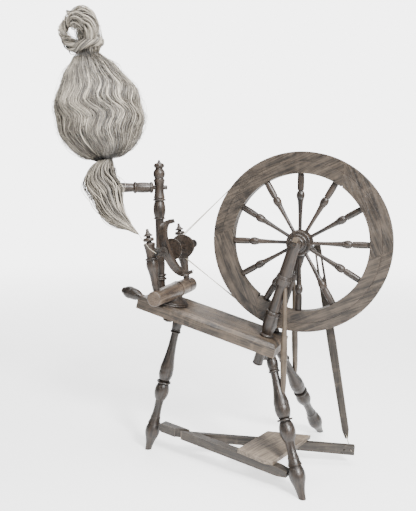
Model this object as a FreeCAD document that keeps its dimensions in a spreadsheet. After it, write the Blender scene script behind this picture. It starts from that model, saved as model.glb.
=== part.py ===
import FreeCAD, Part
import math
import os

import Sketcher

# A flax spinning wheel on a sloping three-legged table.  Millimetres and degrees.
# X runs along the table towards the wheel, Y runs from the spinner's side to the back, Z is up.
# The pieces are set out from the floor point under the front leg, and at the end the whole
# object is moved so that the origin lies on the floor in the middle of its outline.

Vector = FreeCAD.Vector
Rotation = FreeCAD.Rotation
Placement = FreeCAD.Placement

os.makedirs("parts", exist_ok=True)
doc = FreeCAD.newDocument("SpinningWheel")
sheet = doc.addObject("Spreadsheet::Sheet", "Sizes")

# ---------------------------------------------------------------- driving sizes

SIZES = {
    # fits
    "glue_gap": 0.05,           # a fixed tenon in its hole, on the radius
    "running_gap": 0.08,        # a turning shaft in its bearing, on the radius
    "free_gap": 0.5,            # faces that pass each other
    # table
    "table_length": 424.0,
    "table_width": 144.0,
    "table_thickness": 36.0,
    "table_slope": 14.7,
    "table_end_x": -95.9,       # the low end, beside the wheel
    "table_middle_y": 157.0,
    "table_end_height": 369.2,
    "table_bevel": 9.0,
    "mortise_depth": 30.0,
    # legs: where the feet stand, and where the legs enter the table
    "foot_left_x": -500.0,
    "foot_left_y": 123.0,
    "foot_back_x": -37.0,
    "foot_back_y": 438.0,
    "socket_front_x": -119.0,
    "socket_front_y": 112.0,
    "socket_left_x": -415.0,
    "socket_left_y": 174.0,
    "socket_back_x": -120.0,
    "socket_back_y": 196.0,
    # wheel
    "wheel_radius": 246.0,
    "wheel_x": -58.0,
    "wheel_y": 176.0,
    "rim_above_floor": 394.0,
    "rim_width": 58.0,
    "rim_depth": 30.0,
    "rim_edge_setback": 3.0,    # the outer part of the face lies behind the inner part
    "rim_step": 27.0,           # from the rim's outer edge to the step on its face
    "rim_groove_depth": 4.5,
    "band_spacing": 9.0,        # between the two band grooves
    "felloe_joint_slant": 28.0,
    "felloe_joint_gap": 0.5,
    "felloe_long_angle": 116.0,
    "felloe_first_angle": -6.0,
    "dowel_radius": 4.0,
    "dowel_length": 36.0,
    "spoke_tenon": 12.0,
    "axle_radius": 6.0,
    "bearing_spacing": 124.0,
    "axle_nose": 21.0,          # from the front bearing's middle to the axle's end
    "crank_throw": 46.0,
    "crank_angle": -50.0,
    "crank_bar_radius": 4.5,
    "crank_y_gap": 26.0,        # from the back bearing to the crank arm
    # wheel posts
    "post_spacing": 70.0,
    "post_x": -140.0,
    "post_above": 12.0,         # wood above the axle
    "liner_thickness": 2.0,
    "brace_foot_height": 228.0,
    "brace_aside": 7.0,         # the braces stand this far to the wheel's side of post and leg
    # drive band
    "band_radius": 1.1,
    "flyer_groove_radius": 28.0,
    "bobbin_groove_radius": 22.0,
    # mother-of-all and its pedestal
    "mother_x": -420.0,
    "mother_height": 488.0,
    "mother_front_y": 6.0,
    "pedestal_x": -424.0,
    "pedestal_y": 138.0,
    "pedestal_below": 22.0,
    "tension_travel": 8.0,
    "screw_radius": 6.0,
    "screw_depth": 16.0,        # axis below the table's top
    # maidens
    "maiden_front_y": 32.0,
    "maiden_back_y": 245.0,
    "maiden_lean": 8.8,
    "maiden_tenon": 14.0,
    "leather_thickness": 8.0,
    "leather_height": 26.0,
    # flyer and bobbin
    "flyer_x": -402.0,
    "flyer_height": 617.0,
    "orifice_front_y": -9.0,
    "orifice_outer_radius": 7.0,
    "orifice_bore_radius": 3.5,
    "orifice_bore_depth": 24.0,
    "spindle_radius": 3.6,
    "flyer_block_y": 46.0,
    "flyer_reach": 84.0,
    "flyer_arm_depth": 11.0,
    "flyer_block_depth": 18.0,
    "flyer_length": 118.0,
    "hook_rise": 5.0,
    "flyer_blade_width": 22.0,
    "flyer_tip_width": 9.0,
    "flyer_roll": -21.0,
    "bobbin_front_y": 90.0,
    "hook_wire_radius": 0.8,
    "hook_spacing": 10.0,
    # distaff
    "distaff_x": -483.0,
    "distaff_y": 183.0,
    "distaff_top": 867.0,
    "arm_height": 787.0,
    "arm_reach_x": -104.0,
    "arm_reach_y": -68.0,
    "staff_lean_x": -74.0,
    "staff_lean_y": -27.0,
    "staff_rise": 372.0,
    "staff_radius": 7.0,
    "staff_below": 34.0,
    "thread_radius": 0.7,
    # treadle and footman
    "treadle_left_height": 80.0,
    "treadle_right_height": 48.0,
    "treadle_arm_end_height": 44.0,
    "treadle_bar_height": 26.0,
    "treadle_bar_depth": 24.0,
    "treadle_end_gap": 4.0,
    "treadle_pin_radius": 4.0,
    "treadle_arm_height": 28.0,
    "treadle_arm_thickness": 13.0,
    "treadle_arm_start": 90.0,  # along the bar, from the left leg
    "treadle_arm_end_x": 97.0,
    "treadle_arm_end_y": 240.0,
    "treadle_board_thickness": 11.0,
    "footman_top_y": 285.0,
    "footman_width": 24.0,
    "footman_thickness": 8.0,
    "footman_foot_x": 72.0,
    "footman_foot_y": 262.0,
    "footman_foot_height": 66.0,
    "footman_slot_length": 96.0,
    "footman_slot_width": 10.0,
    "tie_radius": 1.2,
    # flax: a teased bundle on the staff, its top knot, and the tail that feeds the thread
    "flax_start": 84.0,         # along the staff, from the arm
    "tail_forward": 65.0,       # the tail hangs this far in front of the staff
    "tail_left": 20.0,
    "tail_above": 64.0,         # its top, above the arm
    "tail_end_x": -461.0,
    "tail_end_y": 6.0,
    "tail_end_height": 664.0,
}

# Turned pieces.  Each outline starts on the axis with a radius, and each stretch is
# (name, length, radius at its end, bulge).  A length of 0 is a square shoulder, and a bulge is how
# far an arc stands out from the straight line, or in if it is negative.  Stretches whose name
# starts with "long" take up what is left of a piece whose length is set by its neighbours.
TURNINGS = {
    "leg": (8.5, [
        ("toe", 2, 9.5, 0.4), ("foot", 44, 18, -2), ("footbulb", 42, 15.5, 5),
        ("collarstep", 0, 19.5, 0), ("collar", 20, 15, -1.2), ("collartop", 3, 13.6, 0.5),
        ("longneck", 27, 13, -1.6), ("bulb", 54, 14, 8), ("discstep", 0, 20, 0),
        ("disc", 5, 20, 1.2), ("discback", 0, 13.5, 0), ("vase", 34, 20.5, 3),
        ("shoulder", 18, 19, 0.8), ("longvase", 52, 11.3, -2.4), ("ringstep", 0, 14.5, 0),
        ("ring", 5, 14.5, 1.2), ("ringgap", 2, 12.6, 0), ("ringtwo", 4, 13.2, 1.2),
        ("longtop", 20, 13, 2.2), ("seat", 22, 13, 0), ("seatstep", 0, 9, 0), ("tenon", 19, 9, 0)]),
    "post": (11.5, [
        ("tip", 6, 14, 2), ("tenon", 84, 14, 0), ("basestep", 0, 17, 0),
        ("base", 8, 17, 2), ("basegap", 3, 15.5, -0.8), ("vase", 52, 20, 2.4),
        ("shoulder", 10, 19.5, 1), ("neckring", 6, 16, 2.4), ("longneck", 52, 13.5, 0),
        ("bandstep", 0, 19, 0), ("band", 15, 21, 0), ("collar", 4, 20, 1.8),
        ("collartwo", 4, 19.5, 1.8), ("collarthree", 4, 18, 1.8), ("longhead", 62, 15.5, -0.6),
        ("crown", 4, 12, 1)]),
    "brace": (3.2, [
        ("longfoot", 50, 8, 1.5), ("longbelly", 64, 8.6, 0.8), ("longwaist", 70, 6, -0.8),
        ("longtip", 50, 3.2, 1)]),
    "spoke": (5.0, [
        ("innertenon", 15, 5, 0), ("longinner", 74, 7.6, -0.9), ("bead", 4, 9, 0.8), ("bulb", 20, 8, 2.6),
        ("groovestep", 0, 6.4, 0), ("groove", 2.5, 6.4, 0), ("grooveback", 0, 8.4, 0),
        ("longouter", 42, 8.4, 0.8), ("endstep", 0, 6, 0), ("tenon", 12, 6, 0)]),
    "hub": (15.0, [
        ("nose", 10, 20, 2), ("nosering", 6, 26, 2), ("face", 0, 31, 0),
        ("bead", 5, 34, 1.6), ("barrel", 32, 34, 2.4), ("beadtwo", 5, 31, 1.6),
        ("faceback", 0, 26, 0), ("tailring", 6, 20, 2), ("tail", 10, 15, 2)]),
    "mother": (4.0, [
        ("button", 1.5, 3.4, 0.3), ("buttonstep", 0, 16, 0), ("rim", 4, 21, 1.4), ("front", 36, 21.5, 0.4), ("barrel", 112, 24, 0.8),
        ("collarstep", 0, 22, 0), ("collargap", 3, 22, 0), ("collarup", 0, 24.5, 0),
        ("collar", 9, 24, 1.2), ("collardown", 0, 21.5, 0), ("back", 52, 22.5, 0.6),
        ("seam", 2.5, 21, 0), ("seamstep", 0, 22.5, 0), ("tail", 40, 22, 0.6),
        ("tailround", 5, 17, 1.6)]),
    "pedestal": (10.0, [
        ("tip", 8, 14, 3), ("ball", 14, 12, 2.4), ("longshank", 40, 12, 0),
        ("flangestep", 0, 46, 0), ("flange", 5, 46, 1.2), ("flangeline", 0, 43, 0),
        ("flangetwo", 4, 43, 1.2), ("cone", 18, 20, -3), ("top", 10, 17, 0)]),
    "maiden": (9.0, [
        ("tenon", 14, 9, 0), ("foot", 14, 10.5, 0), ("taper", 44, 15, -1.2),
        ("bulb", 26, 14.5, 2), ("collarstep", 0, 16.5, 0), ("collar", 5, 16, 1),
        ("collardown", 0, 13, 0), ("body", 32, 15, -0.8), ("flare", 6, 16.5, 0),
        ("flaretop", 4, 9, 1.5), ("gap", 4, 6.5, 0), ("discstep", 0, 12, 0),
        ("disc", 5, 15, 1), ("disctwo", 5, 9, 2), ("disccove", 4, 6, -1),
        ("cupstep", 0, 11, 0), ("cup", 4, 12, 1), ("cone", 12, 4, -2), ("tip", 5, 1.5, 1)]),
    "handle": (8.5, [
        ("neck", 12, 8, -0.6), ("belly", 34, 17.5, 3), ("crown", 26, 10, 4), ("tip", 8, 3, 2)]),
    "distaff": (9.0, [
        ("tip", 8, 13.5, 2), ("tenon", 62, 13.5, 0), ("basestep", 0, 17, 0), ("base", 8, 17, 2),
        ("lower", 28, 15.5, -1), ("ringstep", 0, 18.5, 0), ("ring", 5, 18.5, 1.6),
        ("ringgap", 7, 14.5, -1), ("ringtwostep", 0, 18, 0), ("ringtwo", 5, 18, 1.6),
        ("ringtwoback", 0, 14, 0), ("longvase", 58, 12.5, 1.6), ("longstem", 92, 13, -1),
        ("beltstep", 0, 16, 0), ("belt", 4, 16, 1.2), ("beltback", 0, 14, 0),
        ("bulge", 50, 13.5, 4.2), ("bulgeringstep", 0, 17, 0), ("bulgering", 5, 17, 2),
        ("bulgeringback", 0, 15, 0), ("bulgeline", 4, 16.5, 0), ("block", 46, 15.4, -2.4),
        ("blockflare", 6, 17, 0), ("neck", 6, 13.5, -1), ("ball", 24, 13, 4),
        ("ballneck", 5, 11, -0.8), ("cap", 9, 15, 2), ("capshoulder", 5, 8, 1.5),
        ("point", 9, 3, -1.5)]),
    "arm": (6.5, [
        ("tenon", 42, 6.5, 0), ("collarstep", 0, 13, 0), ("collar", 8, 16.5, 1.6),
        ("collarback", 0, 13.5, 0), ("barrel", 40, 14, 1.6), ("ring", 8, 16, 2),
        ("ringgap", 3, 12.5, -0.6), ("longend", 30, 14, 1), ("endtip", 8, 8, 2)]),
    "staff": (6.0, [("tip", 3, 7, 0.8), ("longrod", 400, 6, 0.3), ("top", 4, 3, 1)]),
    "flax": (14.0, [
        ("under", 12, 46, 3), ("lower", 62, 110, 10), ("belly", 60, 120, 7),
        ("middle", 70, 100, 7), ("upper", 60, 64, 1), ("crown", 38, 32, -2)]),
    "knot": (28.0, [
        ("waist", 16, 34, -1), ("swell", 40, 50, 4), ("crown", 40, 28, 8), ("tuft", 24, 8, 4)]),
    "tail": (26.0, [
        ("round", 16, 46, 5), ("longfull", 60, 43, 3), ("longtaper", 50, 15, -3),
        ("longwisp", 60, 4, -3), ("end", 6, 1.6, 0)]),
    "bobbin": (30.0, [
        ("flange", 4, 30, 0.8), ("flangeback", 0, 10, 0), ("longbarrel", 68, 10, 0),
        ("discstep", 0, 35, 0), ("disc", 5, 35, 0.8),
        ("lipstep", 0, SIZES["bobbin_groove_radius"] + 3, 0),
        ("lip", 1, SIZES["bobbin_groove_radius"] + 3, 0),
        ("veein", 1.7, SIZES["bobbin_groove_radius"] - 1.6, 0),
        ("vee", 3, SIZES["bobbin_groove_radius"] - 1.6, 0),
        ("veeout", 1.7, SIZES["bobbin_groove_radius"] + 3, 0),
        ("backlip", 1, SIZES["bobbin_groove_radius"] + 2, 0.3)]),
    "whorl": (SIZES["flyer_groove_radius"] + 2, [
        ("lip", 1, SIZES["flyer_groove_radius"] + 3, 0.3),
        ("veein", 1.7, SIZES["flyer_groove_radius"] - 1.6, 0),
        ("vee", 3, SIZES["flyer_groove_radius"] - 1.6, 0),
        ("veeout", 1.7, SIZES["flyer_groove_radius"] + 3, 0),
        ("back", 3, SIZES["flyer_groove_radius"] + 1, 0.5), ("bossstep", 0, 10, 0),
        ("boss", 6, 9, 0.8)]),
}

SPOKES = 12

# A sheet takes numbers as text, each under a name of its own.
TURNED_CELLS = {}
for piece, (start_radius, stretches) in TURNINGS.items():
    TURNED_CELLS[piece + "_start_radius"] = start_radius
    for name, length, radius, bulge in stretches:
        TURNED_CELLS[f"{piece}_{name}_radius"] = radius
        if length:
            TURNED_CELLS[f"{piece}_{name}_length"] = length
        if bulge:
            TURNED_CELLS[f"{piece}_{name}_bulge"] = bulge


class Measure:
    """A number together with the expression that gives it from the sheet."""

    def __init__(self, value, text):
        self.value = float(value)
        self.text = text

    def joined(self, other, sign, result, swap=False):
        text = other.text if isinstance(other, Measure) else repr(float(other))
        first, second = (text, self.text) if swap else (self.text, text)
        return Measure(result, f"({first} {sign} {second})")

    def __add__(self, other):
        return self.joined(other, "+", self.value + number(other))

    def __sub__(self, other):
        return self.joined(other, "-", self.value - number(other))

    def __mul__(self, other):
        return self.joined(other, "*", self.value * number(other))

    def __truediv__(self, other):
        return self.joined(other, "/", self.value / number(other))

    def __radd__(self, other):
        return self.joined(other, "+", number(other) + self.value, swap=True)

    def __rsub__(self, other):
        return self.joined(other, "-", number(other) - self.value, swap=True)

    def __rmul__(self, other):
        return self.joined(other, "*", number(other) * self.value, swap=True)

    def __neg__(self):
        return Measure(-self.value, f"(-1 * {self.text})")


def number(value):
    return value.value if isinstance(value, Measure) else float(value)


size = {}


def write_cells(cells):
    for name, value in cells.items():
        row = len(size) + 1
        sheet.set(f"A{row}", name)
        sheet.set(f"B{row}", str(value))
        sheet.setAlias(f"B{row}", name)
        size[name] = Measure(value, "Sizes." + name)


write_cells(SIZES)
write_cells(TURNED_CELLS)


def mm(name):
    return size[name].value


# ---------------------------------------------------------------- helpers

parts = {}


def keep(piece, label):
    """Marks an object as a finished sub-part under its own name."""
    piece.Label = label
    parts[label] = piece
    return piece


def bind(thing, field, measure):
    setattr(thing, field, number(measure))
    if isinstance(measure, Measure):
        thing.setExpression(field, measure.text)


def along(start, direction, roll=0.0):
    """The placement that puts a piece's own +Z axis on a line from start."""
    turn = Rotation(Vector(0, 0, 1), direction)
    return Placement(start, turn.multiply(Rotation(Vector(0, 0, 1), roll)))


def origin_plane(body, role):
    return next(plane for plane in body.Origin.OriginFeatures if plane.Role == role)


def new_sketch(body, role, name):
    sketch = body.newObject("Sketcher::SketchObject", name)
    sketch.AttachmentSupport = (origin_plane(body, role), [""])
    sketch.MapMode = "FlatFace"
    return sketch


def pin_down(sketch, shape, end, x, y):
    """Holds one end of a line or arc at a distance from the sketch's origin."""
    for kind, measure, axis in (("DistanceX", x, -2), ("DistanceY", y, -1)):
        if measure is None:
            continue
        value = number(measure)
        if abs(value) < 1e-9:
            sketch.addConstraint(Sketcher.Constraint("PointOnObject", shape, end, axis))
            continue
        ends = (-1, 1, shape, end) if value > 0 else (shape, end, -1, 1)
        index = sketch.addConstraint(Sketcher.Constraint(kind, *ends, abs(value)))
        if isinstance(measure, Measure):
            text = measure.text if value > 0 else (-measure).text
            sketch.setExpression(f"Constraints[{index}]", text)


def polygon(sketch, corners):
    """A closed outline of straight lines through corners given as (x, y) measures."""
    points = [Vector(number(x), number(y), 0) for x, y in corners]
    lines = []
    for index, point in enumerate(points):
        after = points[(index + 1) % len(points)]
        lines.append(sketch.addGeometry(Part.LineSegment(point, after), False))
    for index, line in enumerate(lines):
        after = lines[(index + 1) % len(lines)]
        sketch.addConstraint(Sketcher.Constraint("Coincident", line, 2, after, 1))
    for line, (x, y) in zip(lines, corners):
        pin_down(sketch, line, 1, x, y)


def padded(name, role, corners, thickness, middle=False):
    """A body padded from a straight-sided outline."""
    body = doc.addObject("PartDesign::Body", name)
    sketch = new_sketch(body, role, name + "_outline")
    polygon(sketch, corners)
    pad = body.newObject("PartDesign::Pad", name + "_pad")
    pad.Profile = sketch
    bind(pad, "Length", thickness)
    pad.Midplane = middle
    return body


def stretch_length(piece, name, stretch):
    length = size[f"{piece}_{name}_length"]
    return length * stretch if name.startswith("long") and stretch is not None else length


def turned(name, piece, stretch=None):
    """A body turned about its own Z axis, starting at its origin."""
    body = doc.addObject("PartDesign::Body", name)
    sketch = new_sketch(body, "XZ_Plane", name + "_outline")
    radius = size[piece + "_start_radius"]
    height = 0.0
    here = Vector(radius.value, 0, 0)
    shape = sketch.addGeometry(Part.LineSegment(Vector(0, 0, 0), here), False)
    sketch.addConstraint(Sketcher.Constraint("Coincident", shape, 1, -1, 1))
    pin_down(sketch, shape, 2, radius, 0)
    last, last_end = shape, 2
    for word, length, _, bulge in TURNINGS[piece][1]:
        after_radius = size[f"{piece}_{word}_radius"]
        run = stretch_length(piece, word, stretch) if length else Measure(0, "0")
        after = Vector(after_radius.value, height + run.value, 0)
        first_end, end = 1, 2
        if bulge:
            rise = size[f"{piece}_{word}_bulge"]
            outward = rise.value > 0
            rise = rise if outward else -rise
            step = after_radius - radius
            arc_radius = (run * run + step * step) / (8 * rise) + rise / 2
            across = Vector(after.y - here.y, here.x - after.x, 0).normalize()
            side = across if outward else -across
            centre = (here + after) * 0.5 + side * (rise.value - arc_radius.value)
            circle = Part.Circle(centre, Vector(0, 0, 1), arc_radius.value)
            first_end, end = (1, 2) if outward else (2, 1)
            low, high = (here, after) if outward else (after, here)
            angles = [math.atan2(p.y - centre.y, p.x - centre.x) for p in (low, high)]
            if angles[1] < angles[0]:
                angles[1] += 2 * math.pi
            shape = sketch.addGeometry(Part.ArcOfCircle(circle, *angles), False)
            index = sketch.addConstraint(Sketcher.Constraint("Radius", shape, arc_radius.value))
            sketch.setExpression(f"Constraints[{index}]", arc_radius.text)
        else:
            shape = sketch.addGeometry(Part.LineSegment(here, after), False)
        sketch.addConstraint(Sketcher.Constraint("Coincident", last, last_end, shape, first_end))
        pin_down(sketch, shape, end, after_radius, None)
        if length:
            ends = (shape, first_end, shape, end)
            index = sketch.addConstraint(Sketcher.Constraint("DistanceY", *ends, run.value))
            sketch.setExpression(f"Constraints[{index}]", run.text)
        else:
            sketch.addConstraint(Sketcher.Constraint("Horizontal", shape))
        last, last_end, radius, here, height = shape, end, after_radius, after, after.y
    on_axis = Vector(0, height, 0)
    top = sketch.addGeometry(Part.LineSegment(here, on_axis), False)
    spine = sketch.addGeometry(Part.LineSegment(on_axis, Vector(0, 0, 0)), False)
    sketch.addConstraint(Sketcher.Constraint("Coincident", last, last_end, top, 1))
    sketch.addConstraint(Sketcher.Constraint("Horizontal", top))
    sketch.addConstraint(Sketcher.Constraint("Coincident", top, 2, spine, 1))
    sketch.addConstraint(Sketcher.Constraint("Coincident", spine, 2, -1, 1))
    sketch.addConstraint(Sketcher.Constraint("PointOnObject", top, 2, -2))
    lathe = body.newObject("PartDesign::Revolution", name + "_turning")
    lathe.Profile = sketch
    lathe.ReferenceAxis = (sketch, ["V_Axis"])
    lathe.Angle = 360.0
    return body


def turned_length(piece, stretch=1.0):
    total = 0.0
    for name, length, _, _ in TURNINGS[piece][1]:
        total += length * (stretch if name.startswith("long") else 1.0)
    return total


def stretch_for(piece, wanted):
    """How much the long stretches of a turned piece grow to make it the wanted length."""
    long_total = 0.0
    for name, length, _, _ in TURNINGS[piece][1]:
        long_total += length if name.startswith("long") else 0.0
    return (wanted - turned_length(piece) + long_total) / long_total


def height_of(piece, word, stretch=1.0):
    """How far along the axis of a turned piece a named stretch begins."""
    total = 0.0
    for name, length, _, _ in TURNINGS[piece][1]:
        if name == word:
            return total
        total += length * (stretch if name.startswith("long") else 1.0)
    raise ValueError(word)


def rod(name, radius, length, placement):
    piece = doc.addObject("Part::Cylinder", name)
    bind(piece, "Radius", radius)
    bind(piece, "Height", length)
    piece.Placement = placement
    return piece


def block(name, length, width, height, placement):
    piece = doc.addObject("Part::Box", name)
    bind(piece, "Length", length)
    bind(piece, "Width", width)
    bind(piece, "Height", height)
    piece.Placement = placement
    return piece


def together(name, shapes):
    """Several shapes fused into one."""
    group = doc.addObject("Part::MultiFuse", name)
    group.Shapes = shapes
    return group


def side_by_side(name, shapes):
    """Several separate solids that share one node."""
    group = doc.addObject("Part::Compound", name)
    group.Links = shapes
    return keep(group, name)


def without(name, base, tools):
    """base with one tool, or several, cut out of it."""
    cut = doc.addObject("Part::Cut", name)
    cut.Base = base
    cut.Tool = tools[0] if len(tools) == 1 else together(name + "_tools", tools)
    return cut


# ---------------------------------------------------------------- setting out

slope = math.radians(mm("table_slope"))
down_table = Vector(math.cos(slope), 0, -math.sin(slope))
table_normal = Vector(math.sin(slope), 0, math.cos(slope))
table_turn = Rotation(Vector(0, 1, 0), mm("table_slope"))
table_low_end = Vector(mm("table_end_x"), mm("table_middle_y"), mm("table_end_height"))
table_middle = table_low_end - down_table * (mm("table_length") / 2)


def on_table(x, y, below=0.0):
    """The point of the table's top over a floor point, or that far under the top."""
    drop = (x - table_middle.x) * math.tan(slope)
    return Vector(x, y, table_middle.z - drop - below / math.cos(slope))


wheel_middle = Vector(mm("wheel_x"), mm("wheel_y"), mm("rim_above_floor") + mm("wheel_radius"))
flyer_axis = Vector(mm("flyer_x"), 0, mm("flyer_height"))
to_back = Vector(0, 1, 0)
glue = size["glue_gap"]
running = size["running_gap"]


def wheel_y_at(side, spacing):
    """The Y of the front (-1) or back (+1) one of a pair about the wheel's middle plane."""
    return mm("wheel_y") + side * mm(spacing) / 2


# ---------------------------------------------------------------- mother-of-all

pedestal_seat = on_table(mm("pedestal_x"), mm("pedestal_y"))
pedestal_stretch = stretch_for("pedestal", turned_length("pedestal") - mm("pedestal_longshank_length")
                               + mm("table_thickness") + 2 * mm("free_gap"))
pedestal_below = height_of("pedestal", "flangestep", pedestal_stretch) - mm("free_gap")
pedestal_start = pedestal_seat - table_normal * pedestal_below
pedestal_blank = turned("pedestal_blank", "pedestal", Measure(pedestal_stretch, repr(pedestal_stretch)))
pedestal_blank.Placement = along(pedestal_start, table_normal)

mother_start = Vector(mm("mother_x"), mm("mother_front_y"), mm("mother_height"))
mother_blank = turned("mother_blank", "mother")
mother_blank.Placement = along(mother_start, to_back)

lean = math.radians(mm("maiden_lean"))
maiden_up = Vector(-math.sin(lean), 0, math.cos(lean))
maiden_sides = {"front": mm("maiden_front_y"), "back": mm("maiden_back_y")}
maiden_feet = {}
maiden_holes = []
for side, y in maiden_sides.items():
    middle = Vector(mm("mother_x"), y, mm("mother_height"))
    sunk = mm("mother_tail_radius") - mm("maiden_tenon")
    maiden_feet[side] = middle + maiden_up * sunk
    hole = rod(f"maiden_hole_{side}", size["maiden_tenon_radius"] + glue, 40,
               along(maiden_feet[side], maiden_up))
    maiden_holes.append(hole)
mother = keep(without("mother_cut", mother_blank, maiden_holes), "mother_of_all")

# the tension screw lies along the table and is threaded into the pedestal's shank
screw_y = mm("pedestal_y")
screw_line = pedestal_seat - table_normal * mm("screw_depth")
table_end = table_middle - down_table * (mm("table_length") / 2)
screw_reach = (screw_line - table_end).dot(down_table) + mm("pedestal_longshank_radius") + 6
screw_placement = along(screw_line + down_table * (screw_reach - (screw_line - table_end).dot(down_table)),
                        down_table * -1)
screw_hole = rod("screw_hole", size["screw_radius"] + running, screw_reach + 40, screw_placement)
keep(without("pedestal_cut", pedestal_blank, [mother_blank, screw_hole]),
                "mother_pedestal")

handle = turned("tension_handle", "handle")
handle.Placement = along(table_end - table_normal * mm("screw_depth")
                         + Vector(0, screw_y - table_middle.y, 0)
                         - down_table * mm("free_gap"), down_table * -1)
screw_blank = rod("screw_blank", size["screw_radius"], screw_reach + mm("free_gap") + 14,
                  screw_placement)
keep(screw_blank, "tension_screw")
keep(without("handle_cut", handle, [rod("handle_socket", size["screw_radius"] + glue, 16,
     along(handle.Placement.Base + down_table, down_table * -1))]), "tension_handle")

# ---------------------------------------------------------------- maidens and leathers

leathers = {}
for side, y in maiden_sides.items():
    shaft_radius = size["orifice_outer_radius" if side == "front" else "spindle_radius"]
    thickness = size["leather_thickness"]
    start = Vector(flyer_axis.x, y - mm("leather_thickness") / 2, flyer_axis.z)
    ring = rod(f"leather_ring_{side}", size["leather_height"] / 2, thickness, along(start, to_back))
    reach = (mm("flyer_x") - mm("mother_x")
             + (mm("flyer_height") - mm("mother_height")) * math.tan(lean))
    tab = block(f"leather_tab_{side}", reach, thickness, size["leather_height"] * 0.7,
                Placement(start - Vector(reach, 0, mm("leather_height") * 0.35), Rotation()))
    bore = rod(f"leather_bore_{side}", shaft_radius + running, thickness + 2,
               along(start - to_back, to_back))
    leather_body = together(f"leather_body_{side}", [ring, tab])
    leathers[side] = keep(without(f"leather_cut_{side}", leather_body, [bore]), f"leather_{side}")
    blank = turned(f"maiden_blank_{side}", "maiden")
    blank.Placement = along(maiden_feet[side], maiden_up)
    keep(without(f"maiden_cut_{side}", blank, [mother, leather_body]), f"maiden_{side}")

# ---------------------------------------------------------------- flyer, shaft, bobbin, whorl

block_start = Vector(flyer_axis.x, mm("flyer_block_y"), flyer_axis.z)
flyer_frame = along(block_start, to_back, mm("flyer_roll"))


def flyer_bow():
    """The U of the flyer, seen flat: a half circle outside and inside, and two straight arms."""
    body = doc.addObject("PartDesign::Body", "flyer_bow")
    sketch = new_sketch(body, "YZ_Plane", "flyer_bow_outline")
    reach = size["flyer_reach"]
    inner = reach - size["flyer_arm_depth"]
    length = size["flyer_length"]
    seat = inner + size["flyer_block_depth"]
    corners = [(-reach, reach), (reach, reach), (reach, length), (inner, length), (inner, seat),
               (-inner, seat), (-inner, length), (-reach, length)]
    points = [Vector(x.value, y.value, 0) for x, y in corners]
    shapes = []
    for index, point in enumerate(points):
        after = points[(index + 1) % len(points)]
        if index == 0:
            circle = Part.Circle(Vector(0, reach.value, 0), Vector(0, 0, 1), reach.value)
            shapes.append(sketch.addGeometry(Part.ArcOfCircle(circle, math.pi, 2 * math.pi), False))
        elif index == 4:
            circle = Part.Circle(Vector(0, seat.value, 0), Vector(0, 0, 1), inner.value)
            shapes.append(sketch.addGeometry(Part.ArcOfCircle(circle, math.pi, 2 * math.pi), False))
        else:
            shapes.append(sketch.addGeometry(Part.LineSegment(point, after), False))
    ends = {shape: (1, 2) for shape in shapes}
    ends[shapes[4]] = (2, 1)
    for index, shape in enumerate(shapes):
        after = shapes[(index + 1) % len(shapes)]
        sketch.addConstraint(
            Sketcher.Constraint("Coincident", shape, ends[shape][1], after, ends[after][0]))
    for shape, (x, y) in zip(shapes, corners):
        pin_down(sketch, shape, ends[shape][0], x, y)
    pin_down(sketch, shapes[0], 3, None, reach)
    pin_down(sketch, shapes[4], 3, None, seat)
    pad = body.newObject("PartDesign::Pad", "flyer_bow_pad")
    pad.Profile = sketch
    bind(pad, "Length", size["flyer_blade_width"])
    pad.Midplane = True
    return body


half_blade = size["flyer_blade_width"] / 2
half_tip = size["flyer_tip_width"] / 2
flyer_taper = padded("flyer_taper", "XZ_Plane", [
    (-half_blade, 0), (half_blade, 0), (half_blade, size["flyer_block_depth"]),
    (half_tip, size["flyer_length"]), (-half_tip, size["flyer_length"]),
    (-half_blade, size["flyer_block_depth"])], size["flyer_reach"] * 2 + 10, middle=True)
flyer_wood = doc.addObject("Part::Common", "flyer_wood")
flyer_wood.Base = flyer_bow()
flyer_wood.Tool = flyer_taper
flyer_wood.Base.Placement = flyer_frame
flyer_taper.Placement = flyer_frame
flyer_bore = rod("flyer_bore", size["orifice_outer_radius"] + glue, 60,
                 along(block_start - to_back * 20, to_back))
keep(without("flyer_cut", flyer_wood, [flyer_bore]), "flyer")

orifice_start = Vector(flyer_axis.x, mm("orifice_front_y"), flyer_axis.z)
tube_length = size["flyer_block_y"] + size["flyer_block_depth"] - size["orifice_front_y"]
spindle_end_y = mm("maiden_back_y") + mm("leather_thickness") / 2 + 5
orifice_tube = rod("orifice_tube", size["orifice_outer_radius"], tube_length,
                   along(orifice_start, to_back))
spindle = rod("spindle", size["spindle_radius"], spindle_end_y - mm("orifice_front_y"),
              along(orifice_start, to_back))
orifice_bore = rod("orifice_bore", size["orifice_bore_radius"], size["orifice_bore_depth"],
                   along(orifice_start, to_back))
eye_middle = orifice_start + to_back * (mm("orifice_bore_depth") - 4)
eye = rod("orifice_eye", 2.8, 20, along(eye_middle, flyer_frame.Rotation.multVec(Vector(1, 0, 0))))
keep(without("shaft_cut", together("shaft_body", [orifice_tube, spindle]), [orifice_bore, eye]),
     "flyer_shaft")

bobbin_groove_y = wheel_y_at(-1, "band_spacing")
bobbin_to_groove = height_of("bobbin", "vee") + 1.5
bobbin_stretch = stretch_for("bobbin", turned_length("bobbin") - bobbin_to_groove
                             + bobbin_groove_y - mm("bobbin_front_y"))
bobbin_blank = turned("bobbin_blank", "bobbin", Measure(bobbin_stretch, repr(bobbin_stretch)))
bobbin_start = Vector(flyer_axis.x, mm("bobbin_front_y"), flyer_axis.z)
bobbin_blank.Placement = along(bobbin_start, to_back)
bobbin_bore = rod("bobbin_bore", size["spindle_radius"] + running, 200,
                  along(bobbin_start - to_back * 20, to_back))
keep(without("bobbin_cut", bobbin_blank, [bobbin_bore]), "bobbin")
whorl_groove_y = wheel_y_at(1, "band_spacing")
whorl_start = Vector(flyer_axis.x, whorl_groove_y - height_of("whorl", "vee") - 1.5, flyer_axis.z)
whorl_blank = turned("whorl_blank", "whorl")
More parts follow.
